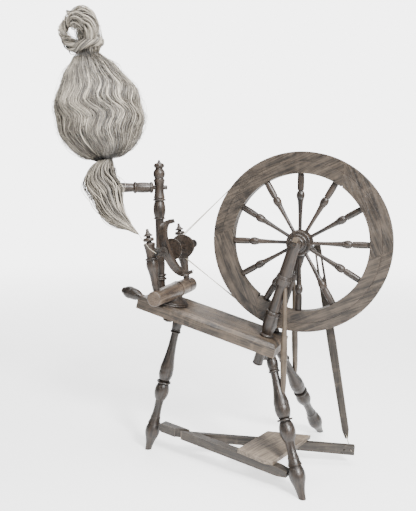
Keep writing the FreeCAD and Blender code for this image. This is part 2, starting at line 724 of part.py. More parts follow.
whorl_blank.Placement = along(whorl_start, to_back)
keep(without("whorl_cut", whorl_blank, [
    rod("whorl_bore", size["spindle_radius"] + glue, 60, along(whorl_start - to_back * 10, to_back))]),
    "flyer_whorl")


def flyer_hooks():
    """Bent wire hooks along one edge of each arm, each a pin that rises and turns back."""
    wire = mm("hook_wire_radius")
    made = []
    first = mm("flyer_block_depth") + mm("flyer_reach") * 0.42
    count = int((mm("flyer_length") - first) / mm("hook_spacing"))
    for arm in (-1, 1):
        for number_of in range(count):
            along_arm = first + 6 + number_of * mm("hook_spacing")
            blade = mm("flyer_blade_width") / 2
            share = (along_arm - mm("flyer_block_depth")) / (
                mm("flyer_length") - mm("flyer_block_depth"))
            edge = (blade + (mm("flyer_tip_width") / 2 - blade) * share + 0.06) * arm
            depth = mm("flyer_reach") - mm("flyer_arm_depth") / 2
            drop = max(mm("flyer_reach") - along_arm, 0)
            depth = math.sqrt(depth ** 2 - drop ** 2)
            foot = Vector(edge, arm * depth, along_arm)
            out = edge + arm * mm("hook_rise")
            rise = Vector(out, arm * depth, along_arm)
            tip = Vector(out, arm * (depth - mm("hook_rise")), along_arm)
            bend = Vector(out + arm * mm("hook_rise") / 3, arm * (depth - mm("hook_rise") / 2),
                          along_arm)
            path = Part.Wire([Part.LineSegment(foot, rise).toShape(),
                              Part.Arc(rise, bend, tip).toShape()])
            ring = Part.Wire(Part.Circle(foot, Vector(arm, 0, 0), wire).toShape())
            made.append(path.makePipeShell([ring], True, True))
    hooks = doc.addObject("Part::Feature", "flyer_hooks")
    hooks.Shape = Part.Compound(made)
    hooks.Placement = flyer_frame
    return keep(hooks, "flyer_hooks")


flyer_hooks()

# ---------------------------------------------------------------- wheel

rim_frame = along(wheel_middle, to_back)
inner_radius = size["wheel_radius"] - size["rim_width"]
hub_radius = mm("hub_barrel_radius")


def around(angle):
    """The direction out from the wheel's centre at an angle, counted from +X towards +Z."""
    return Vector(math.cos(math.radians(angle)), 0, math.sin(math.radians(angle)))


def rim_ring():
    """The whole rim turned about the axle, with its stepped faces and its two band grooves."""
    body = doc.addObject("PartDesign::Body", "rim_ring")
    sketch = new_sketch(body, "XZ_Plane", "rim_outline")
    half = size["rim_depth"] / 2
    back = half - size["rim_edge_setback"]
    outer = size["wheel_radius"]
    step = outer - size["rim_step"]
    floor = outer - size["rim_groove_depth"]
    groove = size["band_spacing"] / 2
    outline = [(inner_radius, -half), (step, -half), (step + 1, -back), (outer, -back),
               (outer, -groove - 3), (floor, -groove - 1.5), (floor, -groove + 1.5),
               (outer, -groove + 3), (outer, groove - 3), (floor, groove - 1.5),
               (floor, groove + 1.5), (outer, groove + 3), (outer, back), (step + 1, back),
               (step, half), (inner_radius, half)]
    polygon(sketch, outline)
    lathe = body.newObject("PartDesign::Revolution", "rim_turning")
    lathe.Profile = sketch
    lathe.ReferenceAxis = (sketch, ["V_Axis"])
    lathe.Angle = 360.0
    body.Placement = rim_frame
    return body


def joint_line(angle):
    """A point on the joint of two felloes, and the slanted direction in which it is sawn."""
    middle_radius = mm("wheel_radius") - mm("rim_width") / 2
    point = wheel_middle + around(angle) * middle_radius
    return point, around(angle + mm("felloe_joint_slant"))


def half_space(name, angle, side):
    """A block over everything on one side (+1 anticlockwise, -1 clockwise) of a joint."""
    point, line = joint_line(angle)
    normal = Vector(-line.z, 0, line.x) * side
    depth = to_back * -side
    turn = Rotation(line, normal, depth, "XZY")
    reach = size["wheel_radius"] * 4
    start = (point - line * (mm("wheel_radius") * 2) - depth * mm("rim_depth")
             + normal * (mm("felloe_joint_gap") / 2))
    return block(name, reach, reach, size["rim_depth"] * 2, Placement(start, turn))


ring = rim_ring()
spoke_angles = [index * 360.0 / SPOKES for index in range(SPOKES)]
spoke_inner = hub_radius - mm("spoke_tenon")
spoke_reach = inner_radius.value - 0.4 + mm("spoke_tenon_length") - spoke_inner
spoke_stretch = stretch_for("spoke", spoke_reach)
spoke_holes = []
hub_holes = []
for index, angle in enumerate(spoke_angles):
    start = wheel_middle + around(angle) * spoke_inner
    spoke = turned(f"spoke_{index + 1:02d}", "spoke", Measure(spoke_stretch, repr(spoke_stretch)))
    spoke.Placement = along(start, around(angle))
    keep(spoke, f"spoke_{index + 1:02d}")
    hub_holes.append(rod(f"hub_hole_{index + 1:02d}", size["spoke_innertenon_radius"] + glue,
                         size["spoke_tenon"] + 8, along(start - around(angle) * 0.2, around(angle))))
    rim_start = wheel_middle + around(angle) * (inner_radius.value - 10)
    spoke_holes.append(rod(f"rim_hole_{index + 1:02d}", size["spoke_tenon_radius"] + glue,
                           size["spoke_tenon_length"] + 10, along(rim_start, around(angle))))

# each joint is pinned by a dowel laid square across it
long_arc = mm("felloe_long_angle")
short_arc = 180.0 - long_arc
joint_angles = [mm("felloe_first_angle")]
for arc in (short_arc, long_arc, short_arc):
    joint_angles.append(joint_angles[-1] + arc)
dowel_holes = []
dowels = []
for index, angle in enumerate(joint_angles):
    point, line = joint_line(angle)
    across = Vector(-line.z, 0, line.x)
    start = point - across * (mm("dowel_length") / 2)
    dowels.append(rod(f"dowel_{index + 1}", size["dowel_radius"], size["dowel_length"],
                      along(start, across)))
    dowel_holes.append(rod(f"dowel_hole_{index + 1}", size["dowel_radius"] + glue,
                           size["dowel_length"] + 2, along(start - across, across)))
side_by_side("felloe_dowels", dowels)
felloe_tools = together("felloe_tools", spoke_holes + dowel_holes)
for index, angle in enumerate(joint_angles):
    after = joint_angles[(index + 1) % 4] + (360.0 if index == 3 else 0.0)
    first = doc.addObject("Part::Common", f"felloe_first_{index + 1}")
    first.Base = ring
    first.Tool = half_space(f"joint_start_{index + 1}", angle, 1)
    second = doc.addObject("Part::Common", f"felloe_second_{index + 1}")
    second.Base = first
    second.Tool = half_space(f"joint_end_{index + 1}", after, -1)
    felloe = doc.addObject("Part::Cut", f"felloe_cut_{index + 1}")
    felloe.Base = second
    felloe.Tool = felloe_tools
    keep(felloe, f"felloe_{index + 1}")

hub_blank = turned("hub_blank", "hub")
hub_start = wheel_middle - to_back * (turned_length("hub") / 2)
hub_blank.Placement = along(hub_start, to_back)
axle_hole = rod("axle_hole", size["axle_radius"] + glue, 400, along(hub_start - to_back * 100, to_back))
keep(without("hub_cut", hub_blank, hub_holes + [axle_hole]), "hub")

# the axle is one forging with the crank behind the back post
front_bearing_y = wheel_y_at(-1, "bearing_spacing")
back_bearing_y = wheel_y_at(1, "bearing_spacing")
crank_y = back_bearing_y + mm("crank_y_gap")
crank_line = around(mm("crank_angle"))
axle_start = Vector(wheel_middle.x, front_bearing_y - mm("axle_nose"), wheel_middle.z)
crank_corner = Vector(wheel_middle.x, crank_y, wheel_middle.z)
pin_corner = crank_corner + crank_line * mm("crank_throw")
footman_y = mm("footman_top_y")
pin_end = footman_y + mm("footman_thickness") / 2 + 8
axle_pieces = [
    rod("axle_bar", size["axle_radius"], crank_y - axle_start.y, along(axle_start, to_back)),
    rod("crank_bar", size["crank_bar_radius"], size["crank_throw"], along(crank_corner, crank_line)),
    rod("crank_pin", size["crank_bar_radius"], pin_end - crank_y, along(pin_corner, to_back)),
]
for name, radius, point in (("axle_bend", size["axle_radius"], crank_corner),
                            ("pin_bend", size["crank_bar_radius"], pin_corner)):
    ball = doc.addObject("Part::Sphere", name)
    bind(ball, "Radius", radius)
    ball.Placement = Placement(point, Rotation())
    axle_pieces.append(ball)
keep(together("axle_body", axle_pieces), "axle_crank")

# ---------------------------------------------------------------- wheel posts and bearings

post_below = mm("post_tip_length") + mm("post_tenon_length")
posts = {}
post_lines = {}
post_tenon_holes = []
liner_radius = size["axle_radius"] + running + size["liner_thickness"]
keepers = []
for side, sign in (("front", -1), ("back", 1)):
    seat = on_table(mm("post_x"), wheel_y_at(sign, "post_spacing"))
    bearing = Vector(wheel_middle.x, wheel_y_at(sign, "bearing_spacing"), wheel_middle.z)
    up = (bearing - seat).normalize()
    post_lines[side] = (seat, up, (bearing - seat).Length)
    stretch = stretch_for("post", post_below + (bearing - seat).Length + mm("post_above"))
    blank = turned(f"post_blank_{side}", "post", Measure(stretch, repr(stretch)))
    blank.Placement = along(seat - up * post_below, up)
    posts[side] = blank
    post_tenon_holes.append(rod(f"post_mortise_{side}", size["post_tenon_radius"] + glue, 120,
                                along(seat - up * 100, up)))
    liner_length = size["post_longhead_radius"] * 2 - 2
    liner_start = bearing - to_back * (liner_length.value / 2)
    liner_outside = rod(f"liner_outside_{side}", liner_radius, liner_length,
                        along(liner_start, to_back))
    liner_bore = rod(f"liner_bore_{side}", size["axle_radius"] + running, 60,
                     along(liner_start - to_back * 10, to_back))
    keep(without(f"liner_cut_{side}", liner_outside, [liner_bore]), f"axle_leather_{side}")
    seat_hole = rod(f"bearing_hole_{side}", liner_radius + glue, 80,
                    along(bearing - to_back * 40, to_back))
    tilt = Rotation(Vector(0, 1, 0), math.degrees(math.atan2(up.x, up.z)))
    slot_width = (liner_radius * 2).value - 3
    slot = block(f"bearing_slot_{side}", slot_width, 80, 40, Placement(
        bearing + tilt.multVec(Vector(-slot_width / 2, -40, 0)), tilt))
    posts[side + "_tools"] = [seat_hole, slot]
    keeper_start = liner_radius.value + 0.6
    keepers.append(block(f"keeper_{side}", slot_width - 0.2, liner_length,
                         mm("post_above") + 4 - keeper_start + 3, Placement(
                             bearing + tilt.multVec(Vector(0.1 - slot_width / 2,
                                                           -liner_length.value / 2, keeper_start)),
                             tilt)))
side_by_side("axle_keepers", keepers)

# ---------------------------------------------------------------- legs and table

feet = {"front": Vector(0, 0, 0),
        "left": Vector(mm("foot_left_x"), mm("foot_left_y"), 0),
        "back": Vector(mm("foot_back_x"), mm("foot_back_y"), 0)}
below_floor = 6.0
leg_lines = {}
leg_blanks = {}
leg_mortises = []
for side, foot in feet.items():
    socket = on_table(mm(f"socket_{side}_x"), mm(f"socket_{side}_y"), mm("table_thickness"))
    up = (socket - foot).normalize()
    leg_lines[side] = (foot, up)
    length = (socket - foot).Length + below_floor + mm("mortise_depth")
    stretch = stretch_for("leg", length)
    blank = turned(f"leg_blank_{side}", "leg", Measure(stretch, repr(stretch)))
    blank.Placement = along(foot - up * below_floor, up)
    leg_blanks[side] = blank
    leg_mortises.append(rod(f"leg_mortise_{side}", size["leg_tenon_radius"] + glue, 80,
                            along(socket + up * (mm("mortise_depth") + 1), up * -1)))

half_length = size["table_length"] / 2
half_width = size["table_width"] / 2
board = padded("table_board", "XY_Plane", [(-half_length, -half_width), (half_length, -half_width),
                                           (half_length, half_width), (-half_length, half_width)],
               size["table_thickness"])
doc.recompute()
board_pad = board.Tip
top_edges = []
for index, edge in enumerate(board_pad.Shape.Edges):
    if min(vertex.Z for vertex in edge.Vertexes) > mm("table_thickness") - 0.01:
        top_edges.append(f"Edge{index + 1}")
bevel = board.newObject("PartDesign::Chamfer", "table_bevels")
bevel.Base = (board_pad, top_edges)
bind(bevel, "Size", size["table_bevel"])
board.Tip = bevel
board.Placement = Placement(table_middle - table_normal * mm("table_thickness"), table_turn)

shank_room = size["pedestal_longshank_radius"] + size["free_gap"]
travel = mm("tension_travel")
slot_start = pedestal_seat - down_table * (travel + shank_room.value) - table_normal * (
    mm("table_thickness") + 5) - to_back * shank_room.value
pedestal_slot = block("pedestal_slot", shank_room * 2 + size["tension_travel"] * 2, shank_room * 2,
                      size["table_thickness"] + 10, Placement(slot_start, table_turn))
distaff_foot = on_table(mm("distaff_x"), mm("distaff_y"))
distaff_up = Vector(0, 0, 1)
distaff_mortise = rod("distaff_mortise", size["distaff_tenon_radius"] + running, 160,
                      along(distaff_foot - distaff_up * 80, distaff_up))
table = keep(without("table_cut", board, leg_mortises + post_tenon_holes
                     + [pedestal_slot, distaff_mortise, screw_hole]), "table")

# ---------------------------------------------------------------- braces

brace_holes = {}
for side in ("front", "back"):
    seat, up, height = post_lines[side]
    high = seat + up * (height * 0.60) + Vector(mm("brace_aside"), 0, 0)
    foot, leg_up = leg_lines[side]
    low = foot + leg_up * (mm("brace_foot_height") / leg_up.z) + Vector(mm("brace_aside"), 0, 0)
    line = (high - low).normalize()
    stretch = stretch_for("brace", (high - low).Length)
    brace = turned(f"brace_{side}", "brace", Measure(stretch, repr(stretch)))
    brace.Placement = along(low, line)
    keep(brace, f"brace_{side}")
    brace_holes[side] = brace
for side in ("front", "back"):
    keep(without(f"post_cut_{side}", posts[side],
                 [table, brace_holes[side]] + posts[side + "_tools"]), f"wheel_post_{side}")

# ---------------------------------------------------------------- treadle and footman

pin_radius = size["treadle_pin_radius"]


def on_leg(side, height):
    foot, up = leg_lines[side]
    return foot + up * (height / up.z)


pivot_left = on_leg("left", mm("treadle_left_height"))
pivot_right = on_leg("front", mm("treadle_right_height"))
bar_line = (pivot_right - pivot_left).normalize()
bar_back = Vector(0, 0, 1).cross(bar_line).normalize()
bar_up = bar_line.cross(bar_back)
bar_turn = Rotation(bar_line, bar_back, bar_up, "XZY")
leg_room = mm("leg_foot_radius") + mm("leg_footbulb_bulge") + mm("treadle_end_gap")
bar_start = pivot_left + bar_line * leg_room
bar_length = (pivot_right - pivot_left).Length - 2 * leg_room
bar_height = size["treadle_bar_height"]
bar_depth = size["treadle_bar_depth"]
end_taper = 26.0
nose = bar_height * 0.3
bar_blank = padded("bar_blank", "XZ_Plane", [
    (0, nose), (end_taper / 3, bar_height / 2), (bar_length - end_taper, bar_height / 2),
    (bar_length, nose), (bar_length, -nose), (bar_length - end_taper, -bar_height / 2),
    (end_taper / 3, -bar_height / 2), (0, -nose)], bar_depth, middle=True)
bar_blank.Placement = Placement(bar_start, bar_turn)

pins = []
pin_holes = []
leg_pin_holes = {}
for side, pivot, sign in (("left", pivot_left, 1), ("front", pivot_right, -1)):
    start = pivot - bar_line * (8 * sign)
    line = bar_line * sign
    pins.append(rod(f"treadle_pin_{side}", pin_radius, leg_room + 30, along(start, line)))
    pin_holes.append(rod(f"pin_hole_bar_{side}", pin_radius + glue, 60,
                         along(bar_start + bar_line * (bar_length if sign < 0 else 0)
                               - line * 28, line)))
    leg_pin_holes[side] = rod(f"pin_hole_leg_{side}", pin_radius + running, leg_room + 60,
                              along(start - line, line))
side_by_side("treadle_pins", pins)

arm_root = bar_start + bar_line * mm("treadle_arm_start")
arm_end = Vector(mm("treadle_arm_end_x"), mm("treadle_arm_end_y"), mm("treadle_arm_end_height"))
arm_line = (arm_end - arm_root).normalize()
arm_side = Vector(0, 0, 1).cross(arm_line).normalize()
arm_turn = Rotation(arm_line, arm_side, arm_line.cross(arm_side), "XZY")
arm_length = (arm_end - arm_root).Length
arm_height = size["treadle_arm_height"]
arm_thickness = size["treadle_arm_thickness"]
board_thickness = size["treadle_board_thickness"]
arm_blank = padded("treadle_arm_blank", "XZ_Plane", [
    (0, arm_height * 0.3), (arm_length, arm_height / 2), (arm_length, -arm_height / 2),
    (0, -arm_height / 2)], arm_thickness, middle=True)
arm_blank.Placement = Placement(arm_root, arm_turn)
lap = block("treadle_lap", arm_thickness * 12, arm_thickness + 0.1, arm_height * 2, Placement(
    arm_root - arm_line * 30 - arm_side * ((arm_thickness.value + 0.1) / 2)
    - arm_turn.multVec(Vector(0, 0, arm_height.value)), arm_turn))
keep(without("bar_cut", bar_blank, pin_holes + [lap]), "treadle_bar")

# the tie passes through a hole near the arm's end and one near the footman's foot
tie_arm_point = arm_end - arm_line * 10
tie_holes = [rod("tie_hole_arm", size["tie_radius"] + 1.2, 60,
                 along(tie_arm_point - arm_side * 30, arm_side)),
             rod("spare_hole_arm", size["tie_radius"] + 1.2, 60,
                 along(tie_arm_point - arm_line * 20 - arm_side * 30, arm_side))]

board_top_edge = bar_start + bar_up * (bar_height.value / 2 + 0.1)
step_plate = padded("treadle_plate", "XY_Plane", [
    (279, -14), (366, -20), (387, -12), (391, 63), (395, 198), (286, 138)], board_thickness)
step_plate.Placement = Placement(board_top_edge, bar_turn)
keep(step_plate, "treadle_board")
keep(without("treadle_arm_cut", arm_blank, tie_holes + [step_plate]), "treadle_arm")

for side in ("front", "left", "back"):
    floor_block = block(f"floor_{side}", 400, 400, 60,
                        Placement(feet[side] - Vector(200, 200, 60), Rotation()))
    tools = [floor_block, table]
    if side in leg_pin_holes:
        tools.append(leg_pin_holes[side])
    if side in brace_holes:
        tools.append(brace_holes[side])
    keep(without(f"leg_cut_{side}", leg_blanks[side], tools), f"leg_{side}")

footman_top = Vector(pin_corner.x, footman_y, pin_corner.z)
footman_foot = Vector(mm("footman_foot_x"), mm("footman_foot_y"), mm("footman_foot_height"))
footman_line = (footman_foot - footman_top).normalize()
footman_across = to_back.cross(footman_line).normalize()
footman_turn = Rotation(footman_across * -1, footman_line.cross(footman_across * -1), footman_line,
                        "ZXY")
footman_length = (footman_foot - footman_top).Length
half = size["footman_width"] / 2
slot_half = size["footman_slot_width"] / 2
hook_rise = 24.0
footman_blank = padded("footman_blank", "XZ_Plane", [
    (-half * 0.7, -hook_rise), (half * 0.5, -hook_rise), (half * 0.8, -hook_rise + 8),
    (half * 0.9, size["footman_slot_length"]), (half, footman_length * 0.5),
    (half * 0.8, footman_length - 24), (half * 0.3, footman_length),
    (-half * 0.3, footman_length), (-half * 0.8, footman_length - 24),
    (-half, footman_length * 0.5), (-half * 0.9, size["footman_slot_length"])],
    size["footman_thickness"], middle=True)
footman_blank.Placement = Placement(footman_top, footman_turn)
footman_tools = [
    rod("footman_eye", size["crank_bar_radius"] + running, 60,
        along(footman_top - to_back * 30, to_back)),
    rod("footman_tie_hole", size["tie_radius"] + 1.2, 60,
        along(footman_foot - footman_line * 12 - to_back * 30, to_back))]
hook_slot = padded("footman_slot", "XZ_Plane", [
    (-slot_half, 12), (slot_half, 12), (slot_half, size["footman_slot_length"] - 24),
    (0, size["footman_slot_length"] - 14), (-slot_half, size["footman_slot_length"] - 24)],
    60, middle=True)
hook_slot.Placement = Placement(footman_top, footman_turn)
keep(without("footman_cut", footman_blank, footman_tools + [hook_slot]), "footman")

# ---------------------------------------------------------------- cords of straight runs and arcs


def rounded_path(points, radii):
    """Straight runs joined by tangent arcs of the given radii at the inner points."""
    edges = []
    here = points[0]
    for before, corner, after, radius in zip(points, points[1:], points[2:], radii):
        inward = (before - corner).normalize()
        outward = (after - corner).normalize()
        half_angle = inward.getAngle(outward) / 2
        setback = radius / math.tan(half_angle)
        start = corner + inward * setback
        end = corner + outward * setback
        middle_line = (inward + outward).normalize()
        centre = corner + middle_line * (radius / math.sin(half_angle))
        middle = centre - middle_line * radius
        edges.append(Part.LineSegment(here, start).toShape())
        edges.append(Part.Arc(start, middle, end).toShape())
        here = end
    edges.append(Part.LineSegment(here, points[-1]).toShape())
    return Part.Wire(edges)


def arc_radii(points):
    """The largest radius that the two runs beside each corner allow."""
    radii = []
    for before, corner, after in zip(points, points[1:], points[2:]):
        turn = math.pi - (before - corner).getAngle(after - corner)
        shorter = min((before - corner).Length, (after - corner).Length)
        radii.append(0.45 * shorter / math.tan(turn / 2))
    return radii


def tube(label, path, radius):
    """A round cord along a path of runs and arcs."""
    first = path.OrderedEdges[0]
    start = first.valueAt(first.FirstParameter)
    section = Part.Wire(Part.Circle(start, first.tangentAt(first.FirstParameter), radius).toShape())
    cord = doc.addObject("Part::Feature", label)
    cord.Shape = path.makePipeShell([section], True, True)
    print(label, "length", round(path.Length, 1), "volume ratio",
          round(cord.Shape.Volume / (path.Length * math.pi * radius ** 2), 3))
    return keep(cord, label)


tie_from = tie_arm_point + arm_side * (arm_thickness.value / 2 + 1.5)
tie_to = footman_foot - footman_line * 12 - to_back * (mm("footman_thickness") / 2 + 1.5)
tie_points = [tie_arm_point - arm_side * (arm_thickness.value / 2 + 3), tie_from + arm_side * 3,
              tie_to - to_back * 1.5, tie_to + to_back * (mm("footman_thickness") + 5)]
tube("footman_tie", rounded_path(tie_points, [2.4, 2.4]), mm("tie_radius"))

# the drive band goes twice round the wheel, once over the bobbin and once over the whorl
band = mm("band_radius")
wheel_band_radius = mm("wheel_radius") - mm("rim_groove_depth") + band + 0.3
bands = []
for label, y, small in (("bobbin", bobbin_groove_y, mm("bobbin_groove_radius")),
                        ("flyer", whorl_groove_y, mm("flyer_groove_radius"))):
    big_centre = Vector(wheel_middle.x, y, wheel_middle.z)
    small_centre = Vector(flyer_axis.x, y, flyer_axis.z)
    gap = big_centre - small_centre
    open_angle = math.acos((wheel_band_radius - small) / gap.Length)
    base_angle = math.atan2(gap.z, gap.x)
    corners = []
    for centre, radius in ((big_centre, wheel_band_radius), (small_centre, small)):
        for sign in (1, -1):
            angle = base_angle + math.pi + sign * open_angle
            corners.append(centre + Vector(math.cos(angle), 0, math.sin(angle)) * radius)
    big_low, big_high, small_low, small_high = corners
    far_big = big_centre + gap.normalize() * wheel_band_radius
    far_small = small_centre - gap.normalize() * small
    path = Part.Wire([Part.LineSegment(big_high, small_high).toShape(),
                      Part.Arc(small_high, far_small, small_low).toShape(),
                      Part.LineSegment(small_low, big_low).toShape(),
                      Part.Arc(big_low, far_big, big_high).toShape()])
    section = Part.Wire(Part.Circle(big_high, small_high - big_high, band).toShape())
    bands.append(path.makePipeShell([section], True, True))
    print("drive band", label, "length", round(path.Length, 1))
drive_band = doc.addObject("Part::Feature", "drive_band")
drive_band.Shape = Part.Compound(bands)
keep(drive_band, "drive_band")

# ---------------------------------------------------------------- distaff

base_lift = mm("distaff_base_radius") * math.tan(slope) + mm("free_gap")
distaff_start = distaff_foot + distaff_up * (base_lift - height_of("distaff", "basestep"))
distaff_stretch = stretch_for("distaff", mm("distaff_top") - distaff_start.z)
distaff_blank = turned("distaff_blank", "distaff", Measure(distaff_stretch, repr(distaff_stretch)))
distaff_blank.Placement = along(distaff_start, distaff_up)
arm_joint = Vector(mm("distaff_x"), mm("distaff_y"), mm("arm_height"))
reach_line = Vector(mm("arm_reach_x"), mm("arm_reach_y"), 0)
arm_out = Vector(reach_line).normalize()
tenon_out = mm("arm_tenon_length") - mm("distaff_block_radius") - 3
distaff_arm_start = arm_joint - arm_out * tenon_out
arm_total = tenon_out + reach_line.Length + 22
distaff_arm_stretch = stretch_for("arm", arm_total)
distaff_arm_blank = turned("distaff_arm_blank", "arm",
                           Measure(distaff_arm_stretch, repr(distaff_arm_stretch)))
distaff_arm_blank.Placement = along(distaff_arm_start, arm_out)
arm_hole = rod("distaff_arm_hole", size["arm_tenon_radius"] + glue, 120,
               along(arm_joint - arm_out * 60, arm_out))
keep(without("distaff_cut", distaff_blank, [arm_hole]), "distaff_post")

staff_point = arm_joint + reach_line
staff_line = Vector(mm("staff_lean_x"), mm("staff_lean_y"), mm("staff_rise")).normalize()
staff_length = mm("staff_below") + mm("staff_rise") / staff_line.z
staff_stretch = stretch_for("staff", staff_length)
staff = turned("distaff_staff", "staff", Measure(staff_stretch, repr(staff_stretch)))
staff.Placement = along(staff_point - staff_line * mm("staff_below"), staff_line)
keep(staff, "distaff_staff")
staff_hole = rod("staff_hole", size["staff_radius"] + running, 200,
                 along(staff_point - staff_line * 100, staff_line))
keep(without("distaff_arm_cut", distaff_arm_blank, [staff_hole]), "distaff_arm")

flax_start = staff_point + staff_line * mm("flax_start")
flax_blank = turned("flax_blank", "flax")
flax_blank.Placement = along(flax_start, staff_line)
staff_room = rod("staff_room", size["staff_radius"] + 1, 500,
                 along(flax_start - staff_line * 10, staff_line))
keep(without("flax_cut", flax_blank, [staff_room]), "flax_bundle")
knot = turned("flax_knot", "knot")
knot_start = flax_start + staff_line * (turned_length("flax") + 0.5)
knot.Placement = along(knot_start, staff_line)
keep(knot, "flax_topknot")

tail_top = staff_point + Vector(-mm("tail_left"), -mm("tail_forward"), mm("tail_above"))
tail_end = Vector(mm("tail_end_x"), mm("tail_end_y"), mm("tail_end_height"))
tail_line = (tail_end - tail_top).normalize()
tail_stretch = stretch_for("tail", (tail_end - tail_top).Length)
tail = turned("flax_tail", "tail", Measure(tail_stretch, repr(tail_stretch)))
tail.Placement = along(tail_top, tail_line)
keep(tail, "flax_tail")

thread_end = orifice_start - to_back * 1.0
thread_start = tail_end + tail_line * 0.5
sag = Vector(0, 0, -6)
thread_points = [thread_start, thread_start + tail_line * 14,
                 (thread_start + thread_end) * 0.5 + sag,
                 thread_end + Vector(-12, -14, 12) * 1.0, thread_end]
tube("spun_thread", rounded_path(thread_points, arc_radii(thread_points)), mm("thread_radius"))

# ---------------------------------------------------------------- check, set down and write

doc.recompute()
for thing in doc.Objects:
    if "Invalid" in thing.State or "Error" in thing.State:
        raise RuntimeError(f"{thing.Name} failed: {thing.State}")
for label, piece in parts.items():
    if piece.Shape.isNull() or not piece.Shape.isValid() or not piece.Shape.Solids:
        raise RuntimeError(f"{label} has no sound shape")

whole = FreeCAD.BoundBox()
for piece in parts.values():
    whole.add(piece.Shape.optimalBoundingBox(True, False))
origin = Vector(whole.Center.x, whole.Center.y, 0)
print("outline", [round(side, 1) for side in (whole.XLength, whole.YLength, whole.ZLength)],
      "lowest", round(whole.ZMin, 3))
for label, piece in parts.items():
    shape = piece.Shape.copy()
    shape.translate(origin * -1)
    shape.exportStep(f"parts/{label}.step")

# the places that the joints and mounts take, in the object's own frame
places = {
    "wheel": wheel_middle, "crank_pin": Vector(pin_corner.x, footman_y, pin_corner.z),
    "flyer": flyer_axis + to_back * mm("orifice_front_y"), "pedestal": pedestal_seat,
    "screw": screw_line, "distaff": distaff_foot, "staff": staff_point,
    "treadle_left": pivot_left, "treadle_right": pivot_right,
    "foot_front": feet["front"], "foot_left": feet["left"], "foot_back": feet["back"],
    "tie_arm": tie_arm_point, "footman_foot": footman_foot,
}
for label, point in places.items():
    print("place", label, [round(value, 3) for value in point - origin])
for label, points in {"spun_thread": thread_points, "footman_tie": tie_points}.items():
    print("route", label, [[round(value, 2) for value in point - feet["front"]] for point in points])
for label, line in {"down_table": down_table, "table_normal": table_normal, "bar": bar_line,
                    "staff_line": staff_line}.items():
    print("line", label, [round(value, 6) for value in line])
print("pieces", len(parts))
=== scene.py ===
import math

import bpy
import numpy as np
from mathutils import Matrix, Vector


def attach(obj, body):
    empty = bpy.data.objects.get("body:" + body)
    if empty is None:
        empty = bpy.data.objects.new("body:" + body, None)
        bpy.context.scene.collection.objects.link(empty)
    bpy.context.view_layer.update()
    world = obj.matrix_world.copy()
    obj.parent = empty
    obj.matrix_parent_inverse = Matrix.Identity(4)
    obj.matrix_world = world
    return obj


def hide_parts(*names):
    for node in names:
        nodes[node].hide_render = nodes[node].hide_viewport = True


# A flax spinning wheel with a dressed distaff, in metres.  Every place is taken from the frame:
# lengths are counted from the floor point under the front leg, in millimetres, where a name
# ends in _mm.

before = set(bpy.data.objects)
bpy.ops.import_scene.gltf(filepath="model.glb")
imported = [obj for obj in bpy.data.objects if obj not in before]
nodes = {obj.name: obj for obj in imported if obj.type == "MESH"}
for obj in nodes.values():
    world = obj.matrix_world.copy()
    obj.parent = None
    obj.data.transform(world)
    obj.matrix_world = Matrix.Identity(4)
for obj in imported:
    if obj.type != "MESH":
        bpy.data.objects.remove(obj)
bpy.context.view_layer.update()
dice = np.random.default_rng(71)


def points_of(node):
    """The corners of a CAD node's mesh, in metres."""
    mesh = nodes[node].data
    flat = np.empty(len(mesh.vertices) * 3)
    mesh.vertices.foreach_get("co", flat)
    return flat.reshape(-1, 3)


def front_foot():
    """The middle of the front leg's foot on the floor."""
    corners = points_of("leg_front")
    on_floor = corners[corners[:, 2] < 0.0005]
    middle = (on_floor.min(axis=0) + on_floor.max(axis=0)) / 2
    return np.array([middle[0], middle[1], 0.0])


FOOT = front_foot()


def at_mm(x, y, z):
    """A place counted in millimetres from the front foot."""
    return FOOT + np.array([x, y, z]) / 1000


# ---------------------------------------------------------------- camera

CAMERA_PLACE_MM = (310.0, -1485.0, 822.0)
CAMERA_TURN = 20.953
CAMERA_DIP = 7.353
CAMERA_SENSOR = 36.0
CAMERA_LENS = 43.6721


def set_camera():
    lens = bpy.data.cameras.new("camera")
    lens.sensor_fit = "VERTICAL"
    lens.sensor_height = CAMERA_SENSOR
    lens.lens = CAMERA_LENS
    lens.clip_end = 60
    camera = bpy.data.objects.new("camera", lens)
    camera.location = at_mm(*CAMERA_PLACE_MM)
    camera.rotation_euler = (math.radians(90 - CAMERA_DIP), 0, math.radians(CAMERA_TURN))
    bpy.context.scene.collection.objects.link(camera)
    bpy.context.scene.camera = camera


set_camera()

# ---------------------------------------------------------------- cords


def cord_curve(name, route, radius):
    """A smooth round cord with the route's points as its control points."""
    curve = bpy.data.curves.new(name, "CURVE")
    curve.dimensions = "3D"
    curve.bevel_depth = 1.0
    curve.bevel_resolution = 3
    curve.resolution_u = 12
    curve.use_fill_caps = True
    line = curve.splines.new("NURBS")
    line.points.add(len(route) - 1)
    for point, place in zip(line.points, route):
        point.co = (*place, 1.0)
        point.radius = radius
    line.order_u = 3
    line.use_endpoint_u = True
    piece = bpy.data.objects.new(name, curve)
    bpy.context.scene.collection.objects.link(piece)
    return piece


THREAD_ROUTE_MM = [(-460.7, 5.91, 663.61),
                   (-452.23, 3.36, 652.76),
                   (-431.35, -2.05, 634.31),
                   (-414.0, -24.0, 629.0),
                   (-402.0, -10.0, 617.0)]
TIE_ROUTE_MM = [(90.06, 228.1, 44.58),
                   (84.35, 247.78, 44.58),
                   (69.8, 255.5, 77.79),
                   (69.8, 270.0, 77.79)]
spun_yarn = cord_curve("spun_yarn", [at_mm(*point) for point in THREAD_ROUTE_MM], 0.0007)
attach(spun_yarn, "stand")
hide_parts("spun_thread")
ankle_tie = cord_curve("ankle_tie", [at_mm(*point) for point in TIE_ROUTE_MM], 0.0012)
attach(ankle_tie, "treadle")
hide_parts("footman_tie")

# ---------------------------------------------------------------- finishes


